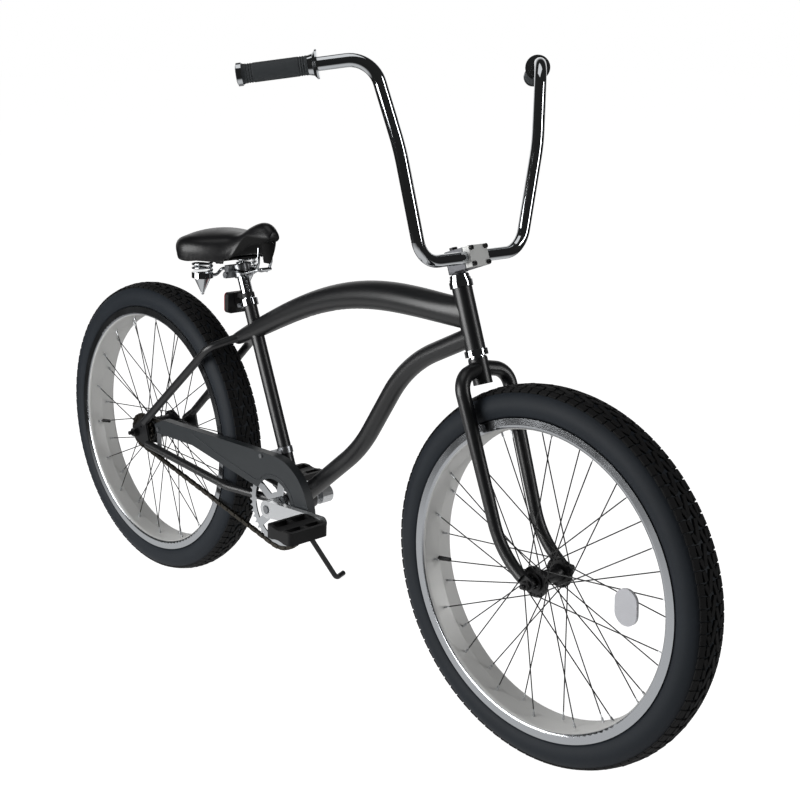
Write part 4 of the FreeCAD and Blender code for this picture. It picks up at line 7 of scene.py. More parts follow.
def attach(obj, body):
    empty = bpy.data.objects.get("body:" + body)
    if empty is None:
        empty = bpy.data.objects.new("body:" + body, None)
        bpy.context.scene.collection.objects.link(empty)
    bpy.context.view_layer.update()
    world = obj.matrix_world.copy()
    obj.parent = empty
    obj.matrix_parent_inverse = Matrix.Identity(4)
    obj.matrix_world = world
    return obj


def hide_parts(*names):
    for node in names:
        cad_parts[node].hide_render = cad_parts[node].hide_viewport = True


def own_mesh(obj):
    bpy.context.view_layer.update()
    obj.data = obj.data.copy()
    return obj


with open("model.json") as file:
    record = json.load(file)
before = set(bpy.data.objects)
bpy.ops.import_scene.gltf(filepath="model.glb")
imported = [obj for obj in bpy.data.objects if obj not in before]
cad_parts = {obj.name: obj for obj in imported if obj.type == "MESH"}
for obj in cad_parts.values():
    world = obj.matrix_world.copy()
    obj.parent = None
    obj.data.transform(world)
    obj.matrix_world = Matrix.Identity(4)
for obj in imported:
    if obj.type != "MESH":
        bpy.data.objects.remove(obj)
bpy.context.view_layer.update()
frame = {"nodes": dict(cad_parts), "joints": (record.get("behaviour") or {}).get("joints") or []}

nodes = frame["nodes"]
joints = {joint["name"]: joint for joint in frame["joints"]}
mm = 0.001
weld = {"spun": 0.05 * mm, "copied": 0.02 * mm}


# The bicycle's own axes: an axle as origin, x forward, y left, z up along its lean
def bikeAxes():
    rear = Vector(joints["rear_wheel_spin"]["pos_m"])
    front = Vector(joints["front_wheel_spin"]["pos_m"])
    left = Vector(joints["rear_wheel_spin"]["axis"])
    forward = (front - rear).normalized()
    up = forward.cross(left)
    turn = Matrix((forward, left, up)).transposed().to_4x4()
    return Matrix.Translation(rear) @ turn, Matrix.Translation(front) @ turn


rearWheelPlace, frontWheelPlace = bikeAxes()


# Small helpers
def deselectAll():
    if bpy.context.mode != "OBJECT":
        bpy.ops.object.mode_set(mode="OBJECT")
    bpy.ops.object.select_all(action="DESELECT")


def makeActive(*pieces):
    deselectAll()
    for piece in pieces:
        piece.select_set(True)
    bpy.context.view_layer.objects.active = pieces[0]
    return pieces[0]


def applyModifiers(piece):
    makeActive(piece)
    for modifier in list(piece.modifiers):
        bpy.ops.object.modifier_apply(modifier=modifier.name)


def place(piece, matrix):
    makeActive(piece)
    piece.matrix_world = matrix @ piece.matrix_world
    bpy.ops.object.transform_apply(location=True, rotation=True, scale=True)
    return piece


def joinPieces(name, pieces):
    makeActive(*pieces)
    bpy.ops.object.join()
    piece = bpy.context.active_object
    piece.name = name
    piece.data.name = name
    return piece


def smoothByAngle(piece, degrees):
    makeActive(piece)
    bpy.ops.object.shade_smooth_by_angle(angle=math.radians(degrees))


def drawLine(name, points):
    # a chain of edges through points, extruded from one vertex
    deselectAll()
    bpy.ops.mesh.primitive_plane_add(size=mm, location=(0, 0, 0))
    piece = bpy.context.active_object
    piece.name = name
    piece.data.name = name
    bpy.ops.object.mode_set(mode="EDIT")
    bpy.ops.mesh.select_all(action="SELECT")
    bpy.ops.mesh.merge(type="CENTER")
    bpy.ops.transform.translate(value=points[0])
    for here, there in zip(points, points[1:]):
        bpy.ops.mesh.extrude_region_move(TRANSFORM_OT_translate={"value": there - here})
    bpy.ops.object.mode_set(mode="OBJECT")
    return piece


def spinLine(name, points, axis, steps):
    piece = drawLine(name, points)
    bpy.ops.object.mode_set(mode="EDIT")
    bpy.ops.mesh.select_all(action="SELECT")
    bpy.ops.mesh.spin(steps=steps, angle=2 * math.pi, center=(0, 0, 0), axis=axis)
    bpy.ops.mesh.select_all(action="SELECT")
    bpy.ops.mesh.remove_doubles(threshold=weld["spun"])
    bpy.ops.mesh.normals_make_consistent(inside=False)
    bpy.ops.object.mode_set(mode="OBJECT")
    return piece


def wireAlong(name, points, thickness):
    # a round wire or bead along points
    piece = drawLine(name, points)
    bpy.ops.object.convert(target="CURVE")
    piece = bpy.context.active_object
    piece.data.bevel_depth = thickness / 2 * mm
    piece.data.bevel_resolution = 3
    piece.data.use_fill_caps = True
    bpy.ops.object.convert(target="MESH")
    piece = bpy.context.active_object
    bpy.ops.object.shade_smooth()
    return piece


def finishPiece(piece, material, body, slot, *replaced):
    piece.data.materials.clear()
    piece.data.materials.append(material)
    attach(piece, body)
    if replaced:
        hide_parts(*replaced)
    return piece


# Materials
def hexColour(text):
    channels = [int(text[i:i + 2], 16) / 255 for i in (1, 3, 5)]
    linear = [c / 12.92 if c <= 0.04045 else ((c + 0.055) / 1.055) ** 2.4 for c in channels]
    return (*linear, 1)


def addNode(tree, kind, settings=None, **links):
    # settings are properties or socket values; a socket goes by its name, or by its number as #1 or i1
    node = tree.nodes.new(kind)
    for key, value in (settings or {}).items():
        if hasattr(node, key):
            setattr(node, key, value)
        else:
            node.inputs[int(key[1:]) if key[0] == "#" else key].default_value = value
    for key, socket in links.items():
        numbered = key[0] == "i" and key[1:].isdigit()
        tree.links.new(socket, node.inputs[int(key[1:]) if numbered else key.replace("_", " ")])
    return node


def newMaterial(name, baseColour, roughness, metallic=0.0, **sockets):
    material = bpy.data.materials.new(name)
    material.use_nodes = True
    shader = material.node_tree.nodes["Principled BSDF"]
    shader.inputs["Base Color"].default_value = hexColour(baseColour)
    shader.inputs["Roughness"].default_value = roughness
    shader.inputs["Metallic"].default_value = metallic
    for key, value in sockets.items():
        shader.inputs[key.replace("_", " ")].default_value = value
    return material, material.node_tree, shader


grain = {"detail": 3.0, "broadDetail": 2.0, "broader": 30}


def grainOn(tree, shader, size, low, high, bump, depth, colours=None):
    # fine noise, size and depth in millimetres: it moves the roughness and lifts the surface a little
    coordinates = addNode(tree, "ShaderNodeTexCoord")
    noise = addNode(tree, "ShaderNodeTexNoise", {"Scale": 1000 / size, "Detail": grain["detail"]},
                    Vector=coordinates.outputs["Object"])
    rough = addNode(tree, "ShaderNodeMapRange", {"To Min": low, "To Max": high}, Value=noise.outputs["Fac"])
    tree.links.new(rough.outputs["Result"], shader.inputs["Roughness"])
    if bump:
        lift = addNode(tree, "ShaderNodeBump", {"Strength": bump, "Distance": depth * mm},
                       Height=noise.outputs["Fac"])
        tree.links.new(lift.outputs["Normal"], shader.inputs["Normal"])
    if colours:
        clouds = {"Scale": 1000 / (size * grain["broader"]), "Detail": grain["broadDetail"]}
        broad = addNode(tree, "ShaderNodeTexNoise", clouds, Vector=coordinates.outputs["Object"])
        ramp = addNode(tree, "ShaderNodeValToRGB", {}, Fac=broad.outputs["Fac"])
        ramp.color_ramp.elements[0].color = hexColour(colours[0])
        ramp.color_ramp.elements[1].color = hexColour(colours[1])
        tree.links.new(ramp.outputs["Color"], shader.inputs["Base Color"])


def planeMask(tree, matrix, way, edgeMm, softMm):
    # 0 to 1 across a plane square to one of the bicycle's own directions
    direction = (matrix.to_3x3() @ Vector(way)).normalized()
    edge = direction.dot(matrix.to_translation()) + edgeMm * mm
    coordinates = addNode(tree, "ShaderNodeTexCoord")
    run = addNode(tree, "ShaderNodeVectorMath", {"operation": "DOT_PRODUCT", "#1": direction},
                  i0=coordinates.outputs["Object"])
    span = {"From Min": edge - softMm * mm, "From Max": edge + softMm * mm}
    ramp = addNode(tree, "ShaderNodeMapRange", span, Value=run.outputs["Value"])
    return ramp.outputs["Result"]


def bikeRun(tree, coordinates, way):
    # distance from the rear axle along one of the bicycle's own directions
    direction = (rearWheelPlace.to_3x3() @ Vector(way)).normalized()
    run = addNode(tree, "ShaderNodeVectorMath", {"operation": "DOT_PRODUCT", "#1": direction},
                  i0=coordinates.outputs["Object"])
    axleRun = direction.dot(rearWheelPlace.to_translation())
    start = addNode(tree, "ShaderNodeMath", {"operation": "SUBTRACT", "#1": axleRun},
                    i0=run.outputs["Value"])
    return start.outputs["Value"]


def radialMask(tree, matrix, along, edgeMm, softMm):
    # 0 to 1 across a distance from a wheel's axle, or along it from the wheel's middle
    centre = matrix.to_translation()
    axle = (matrix.to_3x3() @ Vector((0, 1, 0))).normalized()
    coordinates = addNode(tree, "ShaderNodeTexCoord")
    offset = addNode(tree, "ShaderNodeVectorMath", {"operation": "SUBTRACT", "#1": centre},
                     i0=coordinates.outputs["Object"])
    run = addNode(tree, "ShaderNodeVectorMath", {"operation": "DOT_PRODUCT", "#1": axle},
                  i0=offset.outputs["Vector"])
    if along:
        side = addNode(tree, "ShaderNodeMath", {"operation": "ABSOLUTE"}, i0=run.outputs["Value"])
        distance = side.outputs["Value"]
    else:
        shift = addNode(tree, "ShaderNodeVectorMath", {"operation": "SCALE", "#0": axle},
                        Scale=run.outputs["Value"])
        radial = addNode(tree, "ShaderNodeVectorMath", {"operation": "SUBTRACT"},
                         i0=offset.outputs["Vector"], i1=shift.outputs["Vector"])
        distance = addNode(tree, "ShaderNodeVectorMath", {"operation": "LENGTH"},
                           i0=radial.outputs["Vector"]).outputs["Value"]
    span = {"From Min": (edgeMm - softMm) * mm, "From Max": (edgeMm + softMm) * mm}
    ramp = addNode(tree, "ShaderNodeMapRange", span, Value=distance)
    return ramp.outputs["Result"]


# powder-coated steel, satin black with a fine orange peel
framePaint, tree, shader = newMaterial("satinPowderCoat", "#141517", 0.36, Specular_IOR_Level=0.75)
grainOn(tree, shader, size=1.6, low=0.32, high=0.4, bump=0.08, depth=0.05, colours=("#121315", "#17181a"))

# painted pressed sheet, charcoal and a little lighter than the frame
guardPaint, tree, shader = newMaterial("charcoalEnamel", "#2c3033", 0.42)
grainOn(tree, shader, size=1.2, low=0.38, high=0.47, bump=0.06, depth=0.04, colours=("#292d30", "#2f3336"))

# bright chrome plate over polished steel
chromePlate, tree, shader = newMaterial("chromePlate", "#d2d5d8", 0.06, 1.0)
grainOn(tree, shader, size=9, low=0.04, high=0.1, bump=0.0, depth=0.0)

# zinc-plated steel of screws, spindles, bearings and small brackets
zincPlate, tree, shader = newMaterial("zincPlate", "#9a9c9f", 0.34, 1.0)
grainOn(tree, shader, size=0.8, low=0.28, high=0.42, bump=0.1, depth=0.03)

# oiled dark steel of the chain and the rear sprocket
chainSteel, tree, shader = newMaterial("oiledChainSteel", "#4a4742", 0.36, 1.0)
grainOn(tree, shader, size=2.5, low=0.25, high=0.5, bump=0.1, depth=0.05, colours=("#3b3833", "#5c5851"))

# forged and polished aluminium of the cranks
crankAlloy, tree, shader = newMaterial("polishedForgedAlloy", "#e2e4e6", 0.2, 0.7)
grainOn(tree, shader, size=3, low=0.12, high=0.24, bump=0.03, depth=0.03)

# cast stem body: dull grey aluminium with a rough skin
castAlloy, tree, shader = newMaterial("castStemAlloy", "#6d6e72", 0.46, 0.45)
grainOn(tree, shader, size=2.6, low=0.38, high=0.56, bump=0.3, depth=0.2)

# machined front plate of the stem: pale satin aluminium
satinAlloy, tree, shader = newMaterial("satinPlateAlloy", "#dcdddb", 0.4, 0.2)
grainOn(tree, shader, size=1.2, low=0.34, high=0.46, bump=0.05, depth=0.03)

# black anodised hubs, axles, nuts and stem bolts, and the stand
blackAnodise, tree, shader = newMaterial("blackAnodise", "#141416", 0.38, 0.0)
grainOn(tree, shader, size=0.9, low=0.32, high=0.46, bump=0.06, depth=0.03)

# moulded polypropylene of the pedals and the saddle's pan
mouldedBlack, tree, shader = newMaterial("mouldedPolypropylene", "#101011", 0.5, Specular_IOR_Level=0.35)
grainOn(tree, shader, size=0.7, low=0.44, high=0.58, bump=0.15, depth=0.06)

# butyl rubber of the inner tubes
butyl, tree, shader = newMaterial("butylRubber", "#151516", 0.6)
grainOn(tree, shader, size=1.4, low=0.52, high=0.68, bump=0.1, depth=0.05)

# tyre sidewall: matt slate-grey rubber
sidewallRubber, tree, shader = newMaterial("slateSidewallRubber", "#1e2329", 0.62, Specular_IOR_Level=0.3)
grainOn(tree, shader, size=2.2, low=0.55, high=0.7, bump=0.08, depth=0.05, colours=("#1b2026", "#21272e"))

# tread: black rubber, duller and a little dusty
treadRubber, tree, shader = newMaterial("treadRubber", "#111112", 0.8, Specular_IOR_Level=0.3)
grainOn(tree, shader, size=1.1, low=0.7, high=0.86, bump=0.25, depth=0.12, colours=("#0d0d0e", "#151516"))

# grip: charcoal thermoplastic rubber
gripRubber, tree, shader = newMaterial("gripRubber", "#3a3e41", 0.66)
grainOn(tree, shader, size=0.6, low=0.58, high=0.74, bump=0.2, depth=0.08)


vinyl = {
    "colour": "#131315", "roughness": 0.34, "specular": 0.5, "pebble": 2.4, "crease": 14,
    "creaseDetail": 4.0, "bump": 0.22, "depth": 0.25, "low": 0.28, "high": 0.42,
}
# painted shade on the saddle's underside: a near-black colour, with a rough, matt finish there
undersideShade = {
    "colour": "#050505", "from": 312, "to": 356, "low": 434, "high": 494, "soft": 6, "rough": 0.95,
}


def undersideShadeMask(tree, coordinates):
    # 0 on the underside, where shade is painted, 1 above the cover's lower edge, which rises under the nose
    ahead = bikeRun(tree, coordinates, (1, 0, 0))
    height = bikeRun(tree, coordinates, (0, 0, 1))
    rise = {"interpolation_type": "SMOOTHSTEP",
            "From Min": undersideShade["from"] * mm, "From Max": undersideShade["to"] * mm,
            "To Min": undersideShade["low"] * mm, "To Max": undersideShade["high"] * mm}
    edge = addNode(tree, "ShaderNodeMapRange", rise, Value=ahead)
    above = addNode(tree, "ShaderNodeMath", {"operation": "SUBTRACT"}, i0=height, i1=edge.outputs["Result"])
    span = {"From Min": 0.0, "From Max": undersideShade["soft"] * mm}
    return addNode(tree, "ShaderNodeMapRange", span, Value=above.outputs["Value"]).outputs["Result"]


def buildSaddleVinyl():
    # embossed upholstery vinyl: small pebbles with soft creases, a broad sheen along the crown
    material, tree, shader = newMaterial("saddleVinyl", vinyl["colour"], vinyl["roughness"],
                                         Specular_IOR_Level=vinyl["specular"])
    coordinates = addNode(tree, "ShaderNodeTexCoord")
    pebble = addNode(tree, "ShaderNodeTexVoronoi", {"Scale": 1000 / vinyl["pebble"], "feature": "F1"},
                     Vector=coordinates.outputs["Object"])
    folds = {"Scale": 1000 / vinyl["crease"], "Detail": vinyl["creaseDetail"]}
    crease = addNode(tree, "ShaderNodeTexNoise", folds, Vector=coordinates.outputs["Object"])
    relief = addNode(tree, "ShaderNodeMath", {"operation": "ADD"}, i0=pebble.outputs["Distance"],
                     i1=crease.outputs["Fac"])
    lift = addNode(tree, "ShaderNodeBump", {"Strength": vinyl["bump"], "Distance": vinyl["depth"] * mm},
                   Height=relief.outputs["Value"])
    tree.links.new(lift.outputs["Normal"], shader.inputs["Normal"])
    rough = addNode(tree, "ShaderNodeMapRange", {"To Min": vinyl["low"], "To Max": vinyl["high"]},
                    Value=crease.outputs["Fac"])
    # the underside is matt, and its colour is darkened there as painted shade
    cover = undersideShadeMask(tree, coordinates)
    matt = addNode(tree, "ShaderNodeMix", {"data_type": "FLOAT", "#2": undersideShade["rough"]}, i0=cover,
                   i3=rough.outputs["Result"])
    tree.links.new(matt.outputs[0], shader.inputs["Roughness"])
    colours = {"data_type": "RGBA", "#6": hexColour(undersideShade["colour"]), "#7": hexColour(vinyl["colour"])}
    colour = addNode(tree, "ShaderNodeMix", colours, Factor=cover)
    tree.links.new(colour.outputs[2], shader.inputs["Base Color"])
    return material


saddleVinyl = buildSaddleVinyl()


spoke = {
    "paint": "#101011", "nipple": "#c9cbcd", "roughness": 0.35, "nippleStart": 250.5, "soft": 0.4,
    "grain": 1.5, "low": 0.26, "high": 0.4,
}


def buildSpokeSteel(name, matrix):
    # black-painted spokes that end in bright plated nipples at the rim
    material, tree, shader = newMaterial(name, spoke["paint"], spoke["roughness"])
    mask = radialMask(tree, matrix, False, spoke["nippleStart"], spoke["soft"])
    colours = {"data_type": "RGBA", "#6": hexColour(spoke["paint"]), "#7": hexColour(spoke["nipple"])}
    colour = addNode(tree, "ShaderNodeMix", colours, Factor=mask)
    tree.links.new(colour.outputs[2], shader.inputs["Base Color"])
    tree.links.new(mask, shader.inputs["Metallic"])
    noise = addNode(tree, "ShaderNodeTexNoise", {"Scale": 1000 / spoke["grain"]})
    rough = addNode(tree, "ShaderNodeMapRange", {"To Min": spoke["low"], "To Max": spoke["high"]},
                    Value=noise.outputs["Fac"])
    tree.links.new(rough.outputs["Result"], shader.inputs["Roughness"])
    return material


rim = {
    "alloy": "#d4d6d8", "roughness": 0.3, "face": "#e4e4e2", "wall": "#c3c6ca",
    "faceHalf": 35.2, "soft": 0.8, "streak": 4, "streakDetail": 4.0, "cloud": 60, "cloudDetail": 2.0,
    "frosted": (0.42, 0.6), "polished": (0.1, 0.26), "faceMetal": 0.4, "bump": 0.06, "depth": 0.05,
}


def buildRimAlloy(name, matrix):
    # extruded aluminium: polished side walls, frosted and paler on the wide face towards the hub
    material, tree, shader = newMaterial(name, rim["alloy"], rim["roughness"], 1.0)
    mask = radialMask(tree, matrix, True, rim["faceHalf"], rim["soft"])
    coordinates = addNode(tree, "ShaderNodeTexCoord")
    fine = {"Scale": 1000 / rim["streak"], "Detail": rim["streakDetail"]}
    streak = addNode(tree, "ShaderNodeTexNoise", fine, Vector=coordinates.outputs["Object"])
    broad = {"Scale": 1000 / rim["cloud"], "Detail": rim["cloudDetail"]}
    cloud = addNode(tree, "ShaderNodeTexNoise", broad, Vector=coordinates.outputs["Object"])
    faceSpan = {"To Min": rim["frosted"][0], "To Max": rim["frosted"][1]}
    frosted = addNode(tree, "ShaderNodeMapRange", faceSpan, Value=streak.outputs["Fac"])
    wallSpan = {"To Min": rim["polished"][0], "To Max": rim["polished"][1]}
    polished = addNode(tree, "ShaderNodeMapRange", wallSpan, Value=cloud.outputs["Fac"])
    rough = addNode(tree, "ShaderNodeMix", {"data_type": "FLOAT"}, i0=mask,
                    i2=frosted.outputs["Result"], i3=polished.outputs["Result"])
    tree.links.new(rough.outputs[0], shader.inputs["Roughness"])
    colours = {"data_type": "RGBA", "#6": hexColour(rim["face"]), "#7": hexColour(rim["wall"])}
    colour = addNode(tree, "ShaderNodeMix", colours, Factor=mask)
    tree.links.new(colour.outputs[2], shader.inputs["Base Color"])
    gleam = addNode(tree, "ShaderNodeMapRange", {"To Min": rim["faceMetal"], "To Max": 1.0}, Value=mask)
    tree.links.new(gleam.outputs["Result"], shader.inputs["Metallic"])
    lift = addNode(tree, "ShaderNodeBump", {"Strength": rim["bump"], "Distance": rim["depth"] * mm},
                   Height=streak.outputs["Fac"])
    tree.links.new(lift.outputs["Normal"], shader.inputs["Normal"])
    return material


acrylic = {
    "colour": "#cdced3", "roughness": 0.12, "coat": 0.6, "specular": 0.6, "prism": 3.2, "bump": 0.6,
    "depth": 0.8, "low": 0.08, "high": 0.3,
}


def prismGrid(tree, size):
    # distance field of a square grid of small prisms, size in millimetres
    coordinates = addNode(tree, "ShaderNodeTexCoord")
    grid = {"Scale": 1000 / size, "feature": "F1", "distance": "CHEBYCHEV", "Randomness": 0.0}
    prism = addNode(tree, "ShaderNodeTexVoronoi", grid, Vector=coordinates.outputs["Object"])
    return prism.outputs["Distance"]


def buildLens():
    # moulded acrylic with a grid of small prisms behind a clear face
    material, tree, shader = newMaterial("clearPrismAcrylic", acrylic["colour"], acrylic["roughness"],
                                         Coat_Weight=acrylic["coat"], Specular_IOR_Level=acrylic["specular"])
    prism = prismGrid(tree, acrylic["prism"])
    lift = addNode(tree, "ShaderNodeBump", {"Strength": acrylic["bump"], "Distance": acrylic["depth"] * mm},
                   Height=prism)
    tree.links.new(lift.outputs["Normal"], shader.inputs["Normal"])
    span = {"To Min": acrylic["low"], "To Max": acrylic["high"]}
    rough = addNode(tree, "ShaderNodeMapRange", span, Value=prism)
    tree.links.new(rough.outputs["Result"], shader.inputs["Roughness"])
    return material


reflector = {
    "red": "#a01519", "black": "#131314", "roughness": 0.4, "lensEdge": 279.8, "soft": 0.1, "prism": 3,
    "bump": 0.5, "depth": 0.8, "low": 0.12, "high": 0.5,
}


def buildRearReflector():
    # black housing and bracket, with a red prism lens on the face that looks backwards
    material, tree, shader = newMaterial("rearReflector", reflector["black"], reflector["roughness"])
    mask = planeMask(tree, rearWheelPlace, (1, 0, 0), reflector["lensEdge"], reflector["soft"])
    colours = {"data_type": "RGBA", "#6": hexColour(reflector["red"]), "#7": hexColour(reflector["black"])}
    colour = addNode(tree, "ShaderNodeMix", colours, Factor=mask)
    tree.links.new(colour.outputs[2], shader.inputs["Base Color"])
    prism = prismGrid(tree, reflector["prism"])
    flat = addNode(tree, "ShaderNodeMath", {"operation": "SUBTRACT", "#0": 1.0}, i1=mask)
    height = addNode(tree, "ShaderNodeMath", {"operation": "MULTIPLY"}, i0=prism, i1=flat.outputs["Value"])
    relief = {"Strength": reflector["bump"], "Distance": reflector["depth"] * mm}
    lift = addNode(tree, "ShaderNodeBump", relief, Height=height.outputs["Value"])
    tree.links.new(lift.outputs["Normal"], shader.inputs["Normal"])
    rough = addNode(tree, "ShaderNodeMapRange", {"To Min": reflector["low"], "To Max": reflector["high"]},
                    Value=mask)
    tree.links.new(rough.outputs["Result"], shader.inputs["Roughness"])
    return material


rearReflectorMix = buildRearReflector()
clearLens = buildLens()
frontRimAlloy = buildRimAlloy("frontRimAlloy", frontWheelPlace)
rearRimAlloy = buildRimAlloy("rearRimAlloy", rearWheelPlace)
frontSpokeSteel = buildSpokeSteel("frontSpokeSteel", frontWheelPlace)
rearSpokeSteel = buildSpokeSteel("rearSpokeSteel", rearWheelPlace)

cadFinish = {
    framePaint: ["head_tube", "top_tube", "down_tube", "seat_tube", "bottom_bracket_shell", "seat_stays",
                 "chain_stays", "rear_dropouts", "fork_steerer", "fork_blades"],
    guardPaint: ["chain_guard"],
    chromePlate: ["headset_cups", "headset_races", "seat_clamp", "handlebar", "grip_rings", "seatpost",
                  "saddle_rails", "saddle_springs", "chainring"],
    zincPlate: ["frame_bearings", "front_hub_bearings", "rear_hub_bearings", "frame_screws",
                "guard_brackets", "bottom_bracket_cups", "brake_arm", "kickstand_bracket", "crank_spindle",
                "crank_bolts", "pedal_spindles", "saddle_clamp"],
    chainSteel: ["chain", "rear_sprocket"],
    crankAlloy: ["crank_arms"],
    castAlloy: ["stem"],
    satinAlloy: ["stem_faceplate"],
    blackAnodise: ["front_hub", "rear_hub", "kickstand_leg", "front_axle", "front_axle_nuts", "rear_axle",
                   "rear_axle_nuts", "stem_bolts"],
    mouldedBlack: ["pedal_right", "pedal_left", "saddle_pan", "saddle_cover"],
    rearReflectorMix: ["rear_reflector"],
    butyl: ["front_inner_tube", "rear_inner_tube"],
    sidewallRubber: ["front_tyre", "rear_tyre"],
    gripRubber: ["grips"],
    clearLens: ["spoke_reflector"],
    frontRimAlloy: ["front_rim"],
    rearRimAlloy: ["rear_rim"],
    frontSpokeSteel: ["front_spokes"],
    rearSpokeSteel: ["rear_spokes"],
}
for material, names in cadFinish.items():
    for name in names:
        nodes[name].data.materials.clear()
        nodes[name].data.materials.append(material)
print("finishes on the CAD nodes")


# Tyres: a smooth carcass with a band of tread blocks round it
tyre = {
    "radius": 340.4, "tread": 3.2, "shoulder": 33, "shoulderDrop": 8, "bulge": 8.2, "bulgePower": 0.8,
    "lip": 287.3, "lipHalf": 34.7, "crownSteps": 12, "wallSteps": 10, "wall": 2.5, "steps": 144,
    "pitches": 52, "blockRoot": 1.2, "blockEdge": 0.8,
}
# distance from the middle line, start, width, length and skew; start and length are shares of a pitch
treadBlocks = (
    (5.4, 0, 8.6, 0.86, 0.3),
    (15.4, 0.3, 8.4, 0.42, -0.35),
    (15.4, 0.78, 8.4, 0.42, -0.1),
    (26.6, 0.25, 11.6, 0.44, 0.06),
    (26.6, 0.75, 11.6, 0.44, 0.06),
)


def crownDrop(side):
    # how far the crown has fallen at a distance from the tyre's middle line
    crown = (tyre["shoulder"] ** 2 + tyre["shoulderDrop"] ** 2) / (2 * tyre["shoulderDrop"])
    return crown - math.sqrt(crown ** 2 - side ** 2)


def tyreProfile():
    # from lip to lip, over both walls and the crown
    base = tyre["radius"] - tyre["tread"]
    edge = base - tyre["shoulderDrop"]
    crown = []
    for step in range(tyre["crownSteps"] + 1):
        side = tyre["shoulder"] * (2 * step / tyre["crownSteps"] - 1)
        crown.append((side, base - crownDrop(side)))
    wall = []
    for step in range(1, tyre["wallSteps"] + 1):
        share = step / tyre["wallSteps"]
        bulge = tyre["bulge"] * math.sin(math.pi * share) ** tyre["bulgePower"]
        side = tyre["shoulder"] + (tyre["lipHalf"] - tyre["shoulder"]) * share + bulge
        wall.append((side, edge - share * (edge - tyre["lip"])))
    return [(-side, radius) for side, radius in reversed(wall)] + crown + wall


def buildCarcass(name, matrix, body):
    points = [Vector((0, side * mm, radius * mm)) for side, radius in tyreProfile()]
    piece = spinLine(name, points, (0, 1, 0), tyre["steps"])
    bpy.ops.object.shade_smooth()
    wall = piece.modifiers.new("wall", "SOLIDIFY")
    wall.thickness = tyre["wall"] * mm
    wall.offset = -1
    applyModifiers(piece)
    place(piece, matrix)
    return finishPiece(piece, sidewallRubber, body, "tyre", f"{body.split('_')[0]}_tyre")


def addBlock(side, ahead, width, length, skew, depth):
    # one rubber block on the crown: width across, length along the tyre
    lean = math.atan2(crownDrop(abs(side) + 1) - crownDrop(max(abs(side) - 1, 0)), 2)
    bpy.ops.mesh.primitive_cube_add(size=1, location=(0, 0, 0))
    block = bpy.context.active_object
    block.scale = (length * mm, width * mm, depth * mm)
    bpy.ops.object.transform_apply(location=True, rotation=True, scale=True)
    bevel = block.modifiers.new("edge", "BEVEL")
    bevel.width = tyre["blockEdge"] * mm
    bevel.segments = 1
    applyModifiers(block)
    angle = ahead / tyre["radius"]
    radius = tyre["radius"] - crownDrop(side) - depth / 2
    local = (Matrix.Rotation(angle, 4, "Y") @ Matrix.Translation((0, side * mm, radius * mm))
             @ Matrix.Rotation(-math.copysign(lean, side), 4, "X") @ Matrix.Rotation(skew, 4, "Z"))
    return place(block, local)


def buildTread(name, matrix, body):
    # one pitch of the pattern: two wavy middle rows, and square shoulder blocks that wrap over the edge
    deselectAll()
    pitch = 2 * math.pi * tyre["radius"] / tyre["pitches"]
    depth = tyre["tread"] + tyre["blockRoot"]
    blocks = []
    for half in (1, -1):
        shift = 0 if half > 0 else pitch / 2
        for side, begin, width, length, skew in treadBlocks:
            ahead = shift + pitch * begin
            blocks.append(addBlock(half * side, ahead, width, pitch * length, half * skew, depth))
    piece = joinPieces(name, blocks)
    bpy.ops.object.mode_set(mode="EDIT")
    bpy.ops.mesh.select_all(action="SELECT")
    bpy.ops.mesh.spin(steps=tyre["pitches"] - 1, dupli=True, angle=2 * math.pi * (1 - 1 / tyre["pitches"]),
                      center=(0, 0, 0), axis=(0, 1, 0))
    bpy.ops.object.mode_set(mode="OBJECT")
    place(piece, matrix)
    return finishPiece(piece, treadRubber, body, "tyre")


buildCarcass("frontTyreCarcass", frontWheelPlace, "front_wheel")
buildCarcass("rearTyreCarcass", rearWheelPlace, "rear_wheel")
buildTread("frontTyreTread", frontWheelPlace, "front_wheel")
buildTread("rearTyreTread", rearWheelPlace, "rear_wheel")
print("tyres")


# Saddle: the solid cushion's shape, remeshed and blown up like a padded cover
saddle = {
    "voxel": 4, "pressure": 4, "frames": 20, "cap": 4, "shrink": 2.0, "pinned": 6, "panEnd": 292,
    "bottom": 429.5, "noseTop": 526, "noseLift": 50, "liftFrom": 312, "liftTo": 374, "liftFall": 1.6,
    "rearTop": 499.5, "rearFullness": 0.62, "rearFlat": 0.96, "rearFrom": 345, "rearTo": 295, "smooth": 6,
    "softness": 0.5, "even": 6, "skirt": 9, "skirtDrop": 7,
}


def copyNode(name, node):
    source = nodes[node]
    piece = bpy.data.objects.new(name, source.data.copy())
    bpy.context.scene.collection.objects.link(piece)
    makeActive(piece)
    bpy.ops.object.mode_set(mode="EDIT")
    bpy.ops.mesh.select_all(action="SELECT")
    bpy.ops.mesh.remove_doubles(threshold=weld["copied"])
    bpy.ops.object.mode_set(mode="OBJECT")
    return piece


def easeBetween(value, start, end):
    share = min(max((value - start) / (end - start), 0), 1)
    return share * share * (3 - 2 * share)


def saddleUnderside(ahead):
    # height of the cover's lower edge: it rises under the narrow nose
    return saddle["bottom"] + saddle["noseLift"] * easeBetween(ahead, saddle["liftFrom"], saddle["liftTo"])


